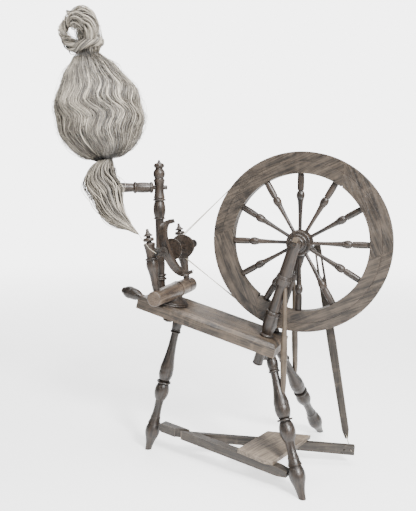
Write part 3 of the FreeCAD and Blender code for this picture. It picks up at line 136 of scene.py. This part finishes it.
class Value:
    """A node's output that can be used in sums."""

    def __init__(self, finish, socket):
        self.finish = finish
        self.socket = socket

    def sum_with(self, operation, first, second):
        return self.finish.node("ShaderNodeMath", {"operation": operation}, {0: first, 1: second})

    def __add__(self, other):
        return self.sum_with("ADD", self, other)

    def __sub__(self, other):
        return self.sum_with("SUBTRACT", self, other)

    def __rsub__(self, other):
        return self.sum_with("SUBTRACT", other, self)

    def __mul__(self, other):
        return self.sum_with("MULTIPLY", self, other)


class Finish:
    """One procedural material, built up from nodes."""

    def __init__(self, name):
        self.material = bpy.data.materials.new(name)
        self.material.use_nodes = True
        self.tree = self.material.node_tree
        self.tree.nodes.clear()

    def node(self, kind, settings=None, values=None, output=0):
        made = self.tree.nodes.new(kind)
        for name, setting in (settings or {}).items():
            if name == "stops":
                self.set_stops(made.color_ramp, setting)
            else:
                setattr(made, name, setting)
        for name, value in (values or {}).items():
            if isinstance(value, Value):
                self.tree.links.new(value.socket, made.inputs[name])
            else:
                made.inputs[name].default_value = value
        return Value(self, made.outputs[output]) if made.outputs else None

    def set_stops(self, ramp, stops):
        while len(ramp.elements) < len(stops):
            ramp.elements.new(0.5)
        for element, (place, shade) in zip(ramp.elements, stops):
            element.position = place
            element.color = (shade, shade, shade, 1)

    def noise(self, place, scale, detail=3.0, rough=0.55, distortion=0.0):
        return self.node("ShaderNodeTexNoise", None, {
            "Vector": place, "Scale": scale, "Detail": detail, "Roughness": rough,
            "Distortion": distortion})

    def steps(self, value, *stops):
        """The value read against a ramp of (place, shade) stops."""
        return self.node("ShaderNodeValToRGB", {"stops": stops}, {"Fac": value})

    def mix(self, share, first, second, blend="MIX"):
        made = self.tree.nodes.new("ShaderNodeMix")
        made.data_type = "RGBA"
        made.blend_type = blend
        for index, value in ((0, share), (6, first), (7, second)):
            if isinstance(value, Value):
                self.tree.links.new(value.socket, made.inputs[index])
            elif index:
                made.inputs[index].default_value = (*value, 1)
            else:
                made.inputs[index].default_value = value
        return Value(self, made.outputs[2])

    def along_axes(self, axes, stretches):
        """Object coordinates counted along three axes, each stretched by its own number."""
        place = self.node("ShaderNodeTexCoord", None, None, "Object")
        counts = {}
        for index, (axis, stretch) in enumerate(zip(axes, stretches)):
            scaled = tuple(float(part) * stretch for part in axis)
            counts[index] = self.node("ShaderNodeVectorMath", {"operation": "DOT_PRODUCT"},
                                      {0: place, 1: scaled}, "Value")
        return self.node("ShaderNodeCombineXYZ", None, counts)

    def crevices(self, distance):
        """0 in hollows and against neighbours, 1 in the open."""
        return self.node("ShaderNodeAmbientOcclusion", {"samples": 6},
                         {"Distance": distance}, "AO")

    def ridges(self, distance):
        """0 on thin and sharp edges, 1 on broad faces."""
        return self.node("ShaderNodeAmbientOcclusion", {"samples": 6, "inside": True},
                         {"Distance": distance}, "AO")

    def bump(self, height, strength, distance):
        return self.node("ShaderNodeBump", None, {
            "Height": height, "Strength": strength, "Distance": distance})

    def surface(self, **values):
        shader = self.node("ShaderNodeBsdfPrincipled", None, {
            name.replace("_", " "): (*value, 1) if isinstance(value, tuple) else value
            for name, value in values.items()})
        self.node("ShaderNodeOutputMaterial", None, {"Surface": shader})
        return self.material


def axes_of(node):
    """The directions of a node's grain: along its length, and two across."""
    corners = points_of(node)
    spread = np.cov((corners - corners.mean(axis=0)).T)
    _, directions = np.linalg.eigh(spread)
    return directions[:, 2], directions[:, 1], directions[:, 0]


def wood(name, axes, pale, dark, turned=True, gloss=0.36, grain=1.0, worn=0.5):
    """Old oiled wood with grain along the first axis, painted shade in the hollows and wear on top."""
    finish = Finish(name)
    seed = dice.uniform(0, 50)
    fibres = finish.noise(finish.along_axes(axes, (14, 420, 420)), 1.0, 6.0, 0.62)
    bands = finish.noise(finish.along_axes(axes, (9, 150, 150)), 1.0, 4.0, 0.6, 0.6)
    pores = finish.steps(finish.noise(finish.along_axes(axes, (55, 1500, 1500)), 1.0, 2.0),
                         (0.30, 0.0), (0.42, 1.0))
    clouds = finish.noise(finish.along_axes(axes, (16, 22, 22)), 1.0, 3.0)
    figure = finish.steps(fibres * 0.45 + bands * 0.55 + (clouds - 0.5) * 0.3,
                          (0.40, 0.0), (0.60, 1.0))
    colour = finish.mix(figure, dark, pale)
    colour = finish.mix((1 - pores) * (0.5 * grain), colour, tuple(part * 0.35 for part in dark))
    # painted shade: the colour darkens where the AO node finds hollows and close neighbours, and the
    # same mask raises the roughness there
    hollow = finish.crevices(0.012)
    painted_crevice_shade = finish.steps(hollow, (0.25, 1.0), (0.85, 0.0))
    colour = finish.mix(painted_crevice_shade * 0.85, colour, tuple(part * 0.22 for part in dark))
    rubbed = finish.steps(finish.noise(finish.along_axes(axes, (seed + 30, 38, 38)), 1.0, 5.0),
                          (0.52, 0.0), (0.72, 1.0))
    edge = finish.steps(finish.ridges(0.0035), (0.35, 1.0), (0.62, 0.0))
    colour = finish.mix((edge * 0.75 + rubbed * 0.35) * worn, colour,
                        tuple(part * 2.3 for part in pale))
    height = fibres * (0.5 * grain) + pores * (0.6 * grain) + rubbed * 0.15
    if turned:
        turning = finish.noise(finish.along_axes(axes, (900, 2, 2)), 1.0, 2.0)
        height = height + turning * 0.3
    normal = finish.bump(height, 0.55, 0.0007)
    rough = finish.steps(fibres * 0.4 + clouds * 0.6, (0.3, gloss - 0.08), (0.7, gloss + 0.16))
    rough = rough + painted_crevice_shade * 0.25
    return finish.surface(Base_Color=colour, Roughness=rough, Normal=normal,
                          Specular_IOR_Level=0.5)


def iron(name, shade):
    """Forged iron, brown-black, brighter where it is rubbed."""
    finish = Finish(name)
    place = finish.node("ShaderNodeTexCoord", None, None, "Object")
    scale = finish.noise(place, 160.0, 6.0, 0.65)
    rust = finish.steps(finish.noise(place, 45.0, 5.0), (0.48, 0.0), (0.66, 1.0))
    colour = finish.mix(rust * 0.6, (shade, shade * 0.96, shade * 0.9), (0.10, 0.055, 0.03))
    colour = finish.mix(scale, colour, (shade * 2.4, shade * 2.3, shade * 2.2))
    rough = finish.steps(scale, (0.3, 0.30), (0.7, 0.58))
    return finish.surface(Base_Color=colour, Roughness=rough + rust * 0.15, Metallic=0.85,
                          Normal=finish.bump(scale, 0.4, 0.0006))


def leather(name):
    """Black greased leather with fine creases and paler greasy patches."""
    finish = Finish(name)
    place = finish.node("ShaderNodeTexCoord", None, None, "Object")
    cells = finish.node("ShaderNodeTexVoronoi", {"feature": "DISTANCE_TO_EDGE"},
                        {"Vector": place, "Scale": 620.0}, "Distance")
    creases = finish.steps(cells, (0.0, 0.0), (0.16, 1.0))
    greasy = finish.noise(place, 130.0, 4.0)
    colour = finish.mix(greasy, (0.010, 0.009, 0.008), (0.045, 0.034, 0.026))
    colour = finish.mix((1 - creases) * 0.6, colour, (0.006, 0.005, 0.005))
    return finish.surface(Base_Color=colour, Roughness=finish.steps(greasy, (0.3, 0.34), (0.7, 0.6)),
                          Normal=finish.bump(creases + greasy * 0.4, 0.5, 0.0005))


def cord_yarn(name, pale, dark):
    """Twisted linen cord, seen as slanting plies."""
    finish = Finish(name)
    place = finish.node("ShaderNodeTexCoord", None, None, "Object")
    plies = finish.node("ShaderNodeTexWave", {"wave_type": "BANDS", "bands_direction": "DIAGONAL"},
                        {"Vector": place, "Scale": 260.0, "Distortion": 1.5, "Detail": 2.0}, 1)
    fuzz = finish.noise(place, 1800.0, 3.0)
    colour = finish.mix(plies * 0.6 + fuzz * 0.4, dark, pale)
    return finish.surface(Base_Color=colour, Roughness=0.85, Sheen_Weight=0.3,
                          Normal=finish.bump(plies + fuzz * 0.5, 0.6, 0.0004))


# painted shade on the lower left of the flax bundle: full below the first height, none above the
# second
PAINTED_SHADE_HEIGHTS = (0.85, 0.96)
BUNDLE_X = float(points_of("flax_bundle")[:, 0].mean())
BUNDLE_HALF = 0.11


def flax_fibre(name, pale, dark, gap, shadow=0.0):
    """Combed flax: U of the map tells one lock from the next and V runs along it.

    shadow is how much painted shade darkens the lower left of the bundle.
    """
    finish = Finish(name)
    map_place = finish.node("ShaderNodeUVMap", {"uv_map": "lock"}, None)
    fine = finish.node("ShaderNodeMapping", None, {"Vector": map_place, "Scale": (60, 0.8, 1)})
    streaks = finish.noise(fine, 8.0, 5.0, 0.6)
    whole = finish.node("ShaderNodeMapping", None, {"Vector": map_place, "Scale": (1, 0.04, 1)})
    tone = finish.noise(whole, 37.0, 2.0)
    place = finish.node("ShaderNodeTexCoord", None, None, "Object")
    patches = finish.noise(place, 16.0, 3.0)
    low = finish.steps(finish.node("ShaderNodeSeparateXYZ", None, {0: place}, "Z"),
                       (PAINTED_SHADE_HEIGHTS[0], 1.0), (PAINTED_SHADE_HEIGHTS[1], 0.0))
    left = finish.steps(finish.node("ShaderNodeSeparateXYZ", None, {0: place}, "X"),
                        (BUNDLE_X - BUNDLE_HALF, 1.0), (BUNDLE_X, 0.0))
    # painted shade: the fibre is made darker towards the bottom and the left of the bundle
    shade = finish.steps(streaks * 0.24 + tone * 0.60 + patches * 0.16 - (low + left) * shadow,
                         (0.43, 0.0), (0.55, 1.0))
    colour = finish.mix(shade, dark, pale)
    # painted shade between the locks: darker where the AO node finds neighbours within gap
    deep = finish.steps(finish.crevices(gap), (0.15, 1.0), (0.8, 0.0))
    colour = finish.mix(deep * 0.85, colour, tuple(part * 0.16 for part in dark))
    return finish.surface(Base_Color=colour, Roughness=finish.steps(streaks, (0.3, 0.42), (0.7, 0.66)),
                          Sheen_Weight=0.25, Normal=finish.bump(streaks, 0.35, 0.0006))


RIM_PALE, RIM_DARK = (0.074, 0.056, 0.041), (0.010, 0.0075, 0.0056)
TURNED_PALE, TURNED_DARK = (0.038, 0.026, 0.018), (0.0055, 0.0038, 0.0028)
TABLE_PALE, TABLE_DARK = (0.088, 0.064, 0.044), (0.008, 0.0058, 0.0043)
LEG_PALE, LEG_DARK = (0.030, 0.0205, 0.0145), (0.0045, 0.0032, 0.0024)
BOARD_PALE, BOARD_DARK = (0.185, 0.145, 0.105), (0.050, 0.037, 0.027)
MOTHER_PALE, MOTHER_DARK = (0.105, 0.075, 0.052), (0.022, 0.0150, 0.011)
BARE_PALE, BARE_DARK = (0.100, 0.075, 0.052), (0.042, 0.030, 0.020)
TREAD_PALE, TREAD_DARK = (0.044, 0.034, 0.025), (0.009, 0.0068, 0.005)


def dress(node, material):
    piece = nodes[node]
    for slot in piece.material_slots:
        slot.material = material


iron_black = iron("iron_black", 0.028)
greased_leather = leather("greased_leather")
linen = cord_yarn("linen_cord", (0.50, 0.46, 0.38), (0.26, 0.22, 0.16))
for node in nodes:
    if node.startswith("felloe_") and node != "felloe_dowels":
        dress(node, wood(node + "_wood", axes_of(node), RIM_PALE, RIM_DARK, False, 0.40, 0.8))
    elif node.startswith("spoke_"):
        dress(node, wood(node + "_wood", axes_of(node), TURNED_PALE, TURNED_DARK, True, 0.34, 0.6))
    elif node == "table":
        dress(node, wood("table_wood", axes_of(node), TABLE_PALE, TABLE_DARK, False, 0.40, 1.6, 0.9))
    elif node.startswith("brace_") or node in ("axle_keepers", "felloe_dowels"):
        dress(node, wood(node + "_wood", axes_of(node), BARE_PALE, BARE_DARK, True, 0.42, 0.8))
    elif node == "treadle_board":
        dress(node, wood("step_wood", axes_of(node), BOARD_PALE, BOARD_DARK, False, 0.5, 1.4, 0.6))
    elif node.startswith("leg_"):
        dress(node, wood(node + "_wood", axes_of(node), LEG_PALE, LEG_DARK, True, 0.30, 0.9))
    elif node == "mother_of_all":
        dress(node, wood("mother_wood", axes_of(node), MOTHER_PALE, MOTHER_DARK, True, 0.34, 1.0))
    elif node in ("treadle_bar", "treadle_arm", "footman"):
        dress(node, wood(node + "_wood", axes_of(node), TREAD_PALE, TREAD_DARK, False, 0.46, 1.3, 1.0))
    elif node in ("axle_crank", "flyer_shaft", "flyer_hooks", "treadle_pins"):
        dress(node, iron_black)
    elif "leather" in node:
        dress(node, greased_leather)
    elif node in ("drive_band", "spun_thread", "footman_tie"):
        dress(node, linen)
    elif not node.startswith("flax_"):
        dress(node, wood(node + "_wood", axes_of(node), TURNED_PALE, TURNED_DARK, True, 0.32, 0.9))
for piece in (spun_yarn, ankle_tie):
    piece.data.materials.append(linen)

# ---------------------------------------------------------------- flax


def smooth_path(points, count):
    """A smooth curve through points, as count places evenly spread in its own parameter."""
    points = np.asarray(points, float)
    knots = np.linspace(0, 1, len(points))
    wanted = np.linspace(0, 1, count)
    slopes = np.gradient(points, knots, axis=0)
    index = np.clip(np.searchsorted(knots, wanted, side="right") - 1, 0, len(points) - 2)
    width = knots[1] - knots[0]
    share = ((wanted - knots[index]) / width)[:, None]
    first, second = points[index], points[index + 1]
    cubic = (2 * share ** 3 - 3 * share ** 2 + 1) * first + (3 * share ** 2 - 2 * share ** 3) * second
    return cubic + width * ((share ** 3 - 2 * share ** 2 + share) * slopes[index]
                            + (share ** 3 - share ** 2) * slopes[index + 1])


def unit(vectors):
    return vectors / np.maximum(np.linalg.norm(vectors, axis=-1, keepdims=True), 1e-9)


def lock_mesh(name, paths, outward, widths, thickness, material, tones=None):
    """Many flattened locks in one mesh.  paths and outward are (locks, places, 3) arrays.

    Locks whose tones are close together get much the same colour.
    """
    locks, places, _ = paths.shape
    tangent = unit(np.gradient(paths, axis=1))
    side = unit(np.cross(tangent, outward))
    lift = unit(np.cross(side, tangent))
    corners = []
    for across, up in ((-1.0, -0.4), (1.0, -0.4), (0.0, 0.9)):
        corners.append(paths + side * (widths * across)[..., None]
                       + lift * (thickness * up)[..., None])
    sides = len(corners)
    vertices = np.stack(corners, axis=2).reshape(-1, 3)
    base = np.arange(locks)[:, None, None] * places * sides
    ring = base + np.arange(places - 1)[None, :, None] * sides
    here = np.arange(sides)[None, None, :]
    after = (here + 1) % sides
    quads = np.stack([ring + here, ring + after, ring + sides + after, ring + sides + here],
                     axis=-1).reshape(-1, 4)
    first = np.arange(locks) * places * sides
    last = first + (places - 1) * sides
    caps = [(start + 2, start + 1, start) for start in first]
    caps += [(start, start + 1, start + 2) for start in last]
    mesh = bpy.data.meshes.new(name)
    mesh.from_pydata(vertices.tolist(), [], quads.tolist() + [tuple(map(int, cap)) for cap in caps])
    if tones is None:
        tones = dice.uniform(0, 1, locks)
    v_count = np.linspace(0, 1, places)
    u_all = np.repeat(tones, places * sides) + np.tile(np.linspace(0, 0.02, sides), locks * places)
    v_all = np.tile(np.repeat(v_count, sides), locks)
    loops = np.empty(len(mesh.loops), int)
    mesh.loops.foreach_get("vertex_index", loops)
    layer = mesh.uv_layers.new(name="lock")
    layer.data.foreach_set("uv", np.stack([u_all[loops], v_all[loops]], axis=1).ravel())
    mesh.polygons.foreach_set("use_smooth", [True] * len(mesh.polygons))
    mesh.materials.append(material)
    piece = bpy.data.objects.new(name, mesh)
    bpy.context.scene.collection.objects.link(piece)
    return piece


def skin_mesh(name, rings, material):
    """A closed skin over rings of places, which is the mass of fibre under the loose locks."""
    count, around, _ = rings.shape
    vertices = rings.reshape(-1, 3).tolist()
    faces = []
    for row in range(count - 1):
        for column in range(around):
            beside = (column + 1) % around
            faces.append((row * around + column, row * around + beside,
                          (row + 1) * around + beside, (row + 1) * around + column))
    faces.append(tuple(range(around - 1, -1, -1)))
    faces.append(tuple((count - 1) * around + column for column in range(around)))
    mesh = bpy.data.meshes.new(name)
    mesh.from_pydata(vertices, [], faces)
    layer = mesh.uv_layers.new(name="lock")
    for polygon in mesh.polygons:
        for loop in polygon.loop_indices:
            row, column = divmod(mesh.loops[loop].vertex_index, around)
            layer.data[loop].uv = (column / around, row / count)
    mesh.polygons.foreach_set("use_smooth", [True] * len(mesh.polygons))
    mesh.materials.append(material)
    piece = bpy.data.objects.new(name, mesh)
    bpy.context.scene.collection.objects.link(piece)
    return piece


flax_pale = flax_fibre("flax_hank", (0.46, 0.405, 0.32), (0.045, 0.037, 0.026), 0.018)
# painted shade: a darkened copy of the flax fibre for the inner mass, the tail core and the knot's
# mass, which lie in shade under the paler locks
flax_shaded = flax_fibre("flax_shaded_mass", (0.10, 0.084, 0.06), (0.022, 0.018, 0.013), 0.018)

staff_axis = axes_of("distaff_staff")[0]
staff_axis = staff_axis if staff_axis[2] > 0 else -staff_axis
staff_middle = points_of("distaff_staff").mean(axis=0)
staff_right = unit(np.cross(np.array([0.0, 1.0, 0.0]), staff_axis))
staff_back = unit(np.cross(staff_axis, staff_right))


def outline_of(node):
    """How far a turned node on the staff reaches at each height along the staff."""
    offsets = points_of(node) - staff_middle
    heights = offsets @ staff_axis
    reach = np.linalg.norm(offsets - heights[:, None] * staff_axis, axis=1)
    order = np.argsort(heights)
    heights, reach = heights[order], reach[order]
    steps = np.linspace(heights[0], heights[-1], 60)
    widest = [reach[np.abs(heights - step) < 0.006].max() if np.any(np.abs(heights - step) < 0.006)
              else np.nan for step in steps]
    widest = np.array(widest)
    known = ~np.isnan(widest)
    return steps, np.interp(steps, steps[known], widest[known])


def on_staff(height, reach, turn):
    """Places at a height along the staff, a reach from it and a turn about it."""
    aside = np.cos(turn)[..., None] * staff_right + np.sin(turn)[..., None] * staff_back
    return staff_middle + np.asarray(height)[..., None] * staff_axis + reach[..., None] * aside, aside


bundle_heights, bundle_reach = outline_of("flax_bundle")
flax_combed = flax_fibre("flax_locks", (0.66, 0.585, 0.465), (0.060, 0.049, 0.035), 0.018, 0.05)
BUNDLE_LOCKS = 1400
LOCK_PLACES = 22
WAVE_LENGTH = 0.105


def bundle_wave(height, turn):
    """The combed waves of the bundle, which neighbouring locks share."""
    low, high = bundle_heights[0], bundle_heights[-1]
    level = (height - low) / (high - low)
    strength = np.exp(-((level - 0.45) / 0.20) ** 2)
    facing = 0.45 + 0.55 * np.cos(turn + 0.7)
    phase = 1.5 * np.sin(turn + 0.6) + 0.5 * np.sin(3 * turn)
    return strength * facing, np.sin(2 * math.pi * height / WAVE_LENGTH + phase)


def bundle_locks():
    low, high = bundle_heights[0], bundle_heights[-1]
    share = np.linspace(0, 1, LOCK_PLACES)[None, :]
    start = np.where(dice.uniform(size=BUNDLE_LOCKS) < 0.6, 0, dice.uniform(0, 0.55, BUNDLE_LOCKS))
    end = np.where(dice.uniform(size=BUNDLE_LOCKS) < 0.6, 1, dice.uniform(0.6, 1, BUNDLE_LOCKS))
    down = start[:, None] + (end - start)[:, None] * share
    height = high - down * (high - low) * 0.995 - 0.001
    turn = dice.uniform(0, 2 * math.pi, BUNDLE_LOCKS)[:, None]
    strick = turn[:, 0] * 0.42 + dice.normal(0, 0.006, BUNDLE_LOCKS)
    turn = turn + dice.normal(0, 0.15, BUNDLE_LOCKS)[:, None] * (down - 0.5)
    reach = np.interp(height, bundle_heights, bundle_reach)
    strength, wave = bundle_wave(height, turn)
    own = dice.uniform(0, 2 * math.pi, BUNDLE_LOCKS)[:, None]
    turn = turn + (0.021 * strength * wave + 0.0015 * np.sin(height * 110 + own)) / np.maximum(
        reach, 0.02)
    depth = dice.uniform(-0.011, 0.002, BUNDLE_LOCKS)[:, None]
    swell = 0.004 * strength * np.cos(2 * math.pi * height / WAVE_LENGTH + own * 0.15)
    places, aside = on_staff(height, np.maximum(reach + depth + swell, 0.006), turn)
    taper = np.clip(np.minimum(share, 1 - share) * 7, 0.12, 1)
    widths = dice.uniform(0.0009, 0.0030, BUNDLE_LOCKS)[:, None] * taper
    crowd = np.clip(reach / 0.10, 0.35, 1)
    return lock_mesh("flax_locks", places, aside, widths * crowd, widths * 0.5, flax_combed,
                     strick)


def bundle_mass():
    heights = np.linspace(bundle_heights[0] + 0.002, bundle_heights[-1] - 0.002, 70)
    turns = np.linspace(0, 2 * math.pi, 150, endpoint=False)
    height, turn = np.meshgrid(heights, turns, indexing="ij")
    reach = np.interp(height, bundle_heights, bundle_reach) - 0.011
    strength, wave = bundle_wave(height, turn)
    ripple = 0.0016 * np.sin(31 * turn + 0.5 * wave) + 0.001 * np.sin(53 * turn + 1.0)
    places, _ = on_staff(height, np.maximum(reach + 0.002 * strength * wave + ripple, 0.004), turn)
    # the skin wears the shaded flax, as painted shade between the loose locks
    return skin_mesh("flax_shaded_mass", places, flax_shaded)


def stray_hairs(name, count, heights, reach, rise, length, material):
    """Fine hairs that stand off a mass of fibre."""
    start = dice.uniform(heights[0] + 0.03, heights[-1] - 0.005, count)
    share = np.linspace(0, 1, 10)[None, :]
    turn = dice.uniform(0, 2 * math.pi, count)[:, None] + dice.normal(0, 0.22, count)[:, None] * share
    height = start[:, None] - dice.uniform(-0.25, 1, count)[:, None] * length * share
    height = np.clip(height, heights[0] + 0.012, heights[-1])
    base = np.interp(height, heights, reach)
    curl = np.sin(share * dice.uniform(2, 6, count)[:, None]) * dice.uniform(0, rise, count)[:, None]
    places, aside = on_staff(height, base + curl, turn)
    widths = np.full((count, share.shape[1]), 0.00028)
    return lock_mesh(name, places, aside, widths, widths, material)


def hank(name, route, radii, count, twist, places, material, flat=1.0, wave=0.0, fringe=0.0):
    """A twisted or waving hank: locks that follow one smooth path, with a radius along it."""
    path = smooth_path(route, places)
    radius = np.interp(np.linspace(0, 1, places), np.linspace(0, 1, len(radii)), radii)
    tangent = unit(np.gradient(path, axis=0))
    side = unit(np.cross(tangent, np.array([0.0, 1.0, 0.0])))
    back = unit(np.cross(side, tangent))
    share = np.linspace(0, 1, places)[None, :]
    turn = dice.uniform(0, 2 * math.pi, count)[:, None] + twist * 2 * math.pi * share
    turn = turn + dice.normal(0, 0.35, count)[:, None] * share
    deep = np.sqrt(dice.uniform(0.25, 1, count))[:, None]
    loose = 1 + fringe * dice.uniform(-0.5, 1, count)[:, None] * np.sin(
        share * dice.uniform(4, 9, count)[:, None] + dice.uniform(0, 6, count)[:, None])
    own = dice.uniform(0, 6, count)[:, None]
    reach = radius[None, :] * deep * loose
    swing = wave * radius[None, :] * np.sin(share * 15 + own * 0.25)
    offset = ((np.cos(turn) * reach + swing)[..., None] * side[None]
              + (np.sin(turn) * reach * flat)[..., None] * back[None])
    aside = unit(np.cos(turn)[..., None] * side[None] + np.sin(turn)[..., None] * back[None])
    ends = np.clip(np.minimum(share, 1 - share) * 8, 0.15, 1)
    widths = dice.uniform(0.0007, 0.0022, count)[:, None] * ends
    return lock_mesh(name, path[None] + offset, aside, widths, widths * 0.55, material)


def route_mm(*points):
    return [at_mm(*point) for point in points]


flax_locks = bundle_locks()
flax_shaded_mass = bundle_mass()
flax_hairs = stray_hairs("flax_hairs", 1100, bundle_heights, bundle_reach, 0.014, 0.12, flax_pale)
knot_pieces = [
    stray_hairs("topknot_hairs", 260, *outline_of("flax_topknot"), 0.010, 0.05, flax_pale),
    hank("topknot_twist", route_mm((-657, 84, 1160), (-648, 82, 1196), (-650, 80, 1230),
                                   (-660, 80, 1262), (-690, 80, 1286)),
         [0.028, 0.031, 0.031, 0.024, 0.003], 420, 0.35, 26, flax_pale, 1.0, 0.05, 0.35),
    hank("topknot_loop", route_mm((-656, 60, 1172), (-684, 54, 1182), (-708, 56, 1198),
                                  (-719, 62, 1222), (-710, 66, 1244), (-688, 62, 1256),
                                  (-662, 54, 1246), (-646, 52, 1216)),
         [0.014, 0.013, 0.011, 0.009, 0.011, 0.017, 0.020, 0.012], 240, 1.2, 34, flax_pale, 1.0,
         0.2, 0.7),
    hank("topknot_tip", route_mm((-640, 66, 1240), (-664, 66, 1258), (-690, 68, 1266),
                                 (-712, 70, 1282)),
         [0.010, 0.012, 0.010, 0.002], 130, 0.4, 24, flax_pale, 1.0, 0.1, 0.6),
    hank("topknot_bind", route_mm((-690, 84, 1176), (-672, 52, 1174), (-642, 46, 1182),
                                  (-618, 72, 1194), (-626, 104, 1196), (-660, 116, 1188),
                                  (-688, 100, 1178), (-686, 66, 1172)),
         [0.008, 0.011, 0.012, 0.012, 0.011, 0.010, 0.009, 0.007], 160, 1.6, 34, flax_pale, 1.0,
         0.05, 0.35),
    hank("topknot_crown", route_mm((-640, 56, 1186), (-622, 54, 1214), (-630, 58, 1246),
                                   (-652, 64, 1268), (-682, 70, 1270), (-706, 74, 1250)),
         [0.012, 0.016, 0.018, 0.016, 0.012, 0.006], 200, 0.9, 30, flax_pale, 1.0, 0.1, 0.5),
    # painted shade: the knot's inner mass in the shaded flax
    hank("topknot_mass", route_mm((-657, 90, 1160), (-650, 88, 1196), (-652, 86, 1230),
                                  (-664, 84, 1258)),
         [0.020, 0.024, 0.024, 0.012], 200, 0.2, 16, flax_shaded, 1.0, 0.0, 0.1),
]
tail_pieces = [
    hank("tail_locks", route_mm((-606, 92, 870), (-606, 62, 838), (-598, 48, 800), (-578, 40, 758),
                                (-540, 30, 714), (-492, 14, 680), (-461, 6, 664)),
         [0.014, 0.036, 0.050, 0.048, 0.030, 0.008, 0.0012], 480, 0.12, 30, flax_pale, 0.62, 0.16,
         0.4),
    # painted shade: the tail's core in the shaded flax
    hank("tail_core", route_mm((-606, 92, 866), (-606, 62, 834), (-598, 48, 798), (-578, 42, 756),
                               (-540, 32, 712), (-492, 15, 680)),
         [0.010, 0.024, 0.034, 0.032, 0.020, 0.006], 260, 0.05, 22, flax_shaded, 0.6, 0.05, 0.1),
]

for piece in (flax_locks, flax_shaded_mass, flax_hairs):
    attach(piece, "staff")
    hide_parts("flax_bundle")
for piece in knot_pieces:
    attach(piece, "staff")
    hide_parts("flax_topknot")
for piece in tail_pieces:
    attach(piece, "distaff")
    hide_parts("flax_tail")

# ---------------------------------------------------------------- floor and light

FLOOR_REACH = 14.0
FLOOR_SIDES = 64
FLOOR_HEIGHT = -0.0005
FLOOR_GLOW = 1.25
MELT_START, MELT_END = 0.8, 4.5
MELT_LEAST = 0.08
WORLD_LIGHT = 0.34
BACKDROP_LIGHT = 5.2


def pale_floor():
    """A plain pale floor whose far edge melts into the background."""
    finish = Finish("floor_paper")
    place = finish.node("ShaderNodeTexCoord", None, None, "Object")
    far = finish.node("ShaderNodeVectorMath", {"operation": "LENGTH"}, {0: place}, "Value")
    melt = finish.node("ShaderNodeMapRange", {"interpolation_type": "SMOOTHSTEP"},
                       {0: far, 1: MELT_START, 2: MELT_END, 3: MELT_LEAST, 4: 1.0})
    speck = finish.noise(place, 6.0, 4.0)
    colour = finish.mix(speck, (0.80, 0.80, 0.80), (0.84, 0.84, 0.84))
    paper = finish.node("ShaderNodeBsdfPrincipled", None, {
        "Base Color": colour, "Roughness": 0.9, "Specular IOR Level": 0.2,
        "Emission Color": (1, 1, 1, 1), "Emission Strength": FLOOR_GLOW})
    clear = finish.node("ShaderNodeBsdfTransparent")
    finish.node("ShaderNodeOutputMaterial", None, {"Surface": finish.node(
        "ShaderNodeMixShader", None, {0: melt, 1: paper, 2: clear})})
    corners = []
    faces = []
    rings = (0.0, 1.0, 3.0, 6.0, 10.0, FLOOR_REACH)
    for ring in rings[1:]:
        for step in range(FLOOR_SIDES):
            angle = 2 * math.pi * step / FLOOR_SIDES
            corners.append((ring * math.cos(angle), ring * math.sin(angle), FLOOR_HEIGHT))
    corners.append((0, 0, FLOOR_HEIGHT))
    for step in range(FLOOR_SIDES):
        faces.append((len(corners) - 1, step, (step + 1) % FLOOR_SIDES))
        for row in range(len(rings) - 2):
            low, beside = row * FLOOR_SIDES + step, row * FLOOR_SIDES + (step + 1) % FLOOR_SIDES
            faces.append((low, low + FLOOR_SIDES, beside + FLOOR_SIDES, beside))
    mesh = bpy.data.meshes.new("floor")
    mesh.from_pydata(corners, [], faces)
    mesh.materials.append(finish.material)
    floor = bpy.data.objects.new("floor", mesh)
    bpy.context.scene.collection.objects.link(floor)


def soft_box(name, place, aim, width, height, power):
    lamp = bpy.data.lights.new(name, "AREA")
    lamp.shape = "RECTANGLE"
    lamp.size = width
    lamp.size_y = height
    lamp.energy = power
    light = bpy.data.objects.new(name, lamp)
    light.location = place
    light.rotation_euler = (Vector(aim) - Vector(place)).to_track_quat("-Z", "Y").to_euler()
    bpy.context.scene.collection.objects.link(light)


def studio():
    world = bpy.data.worlds.new("studio")
    world.use_nodes = True
    background = world.node_tree.nodes["Background"]
    background.inputs["Color"].default_value = (1, 1, 1, 1)
    rays = world.node_tree.nodes.new("ShaderNodeLightPath")
    strength = world.node_tree.nodes.new("ShaderNodeMapRange")
    strength.inputs["To Min"].default_value = WORLD_LIGHT
    strength.inputs["To Max"].default_value = BACKDROP_LIGHT
    world.node_tree.links.new(rays.outputs["Is Camera Ray"], strength.inputs["Value"])
    world.node_tree.links.new(strength.outputs["Result"], background.inputs["Strength"])
    bpy.context.scene.world = world
    soft_box("key_light", (2.3, -1.9, 2.5), (0.0, 0.0, 0.6), 0.7, 0.7, 330)
    soft_box("top_light", (0.3, -0.2, 3.6), (0.0, 0.0, 0.0), 2.2, 2.2, 200)
    soft_box("front_light", (-1.6, -2.8, 1.7), (0.0, 0.0, 0.5), 1.8, 1.6, 14)
    soft_box("back_light", (-1.8, 2.8, 2.2), (0.0, 0.0, 0.6), 1.8, 1.8, 70)


pale_floor()
studio()
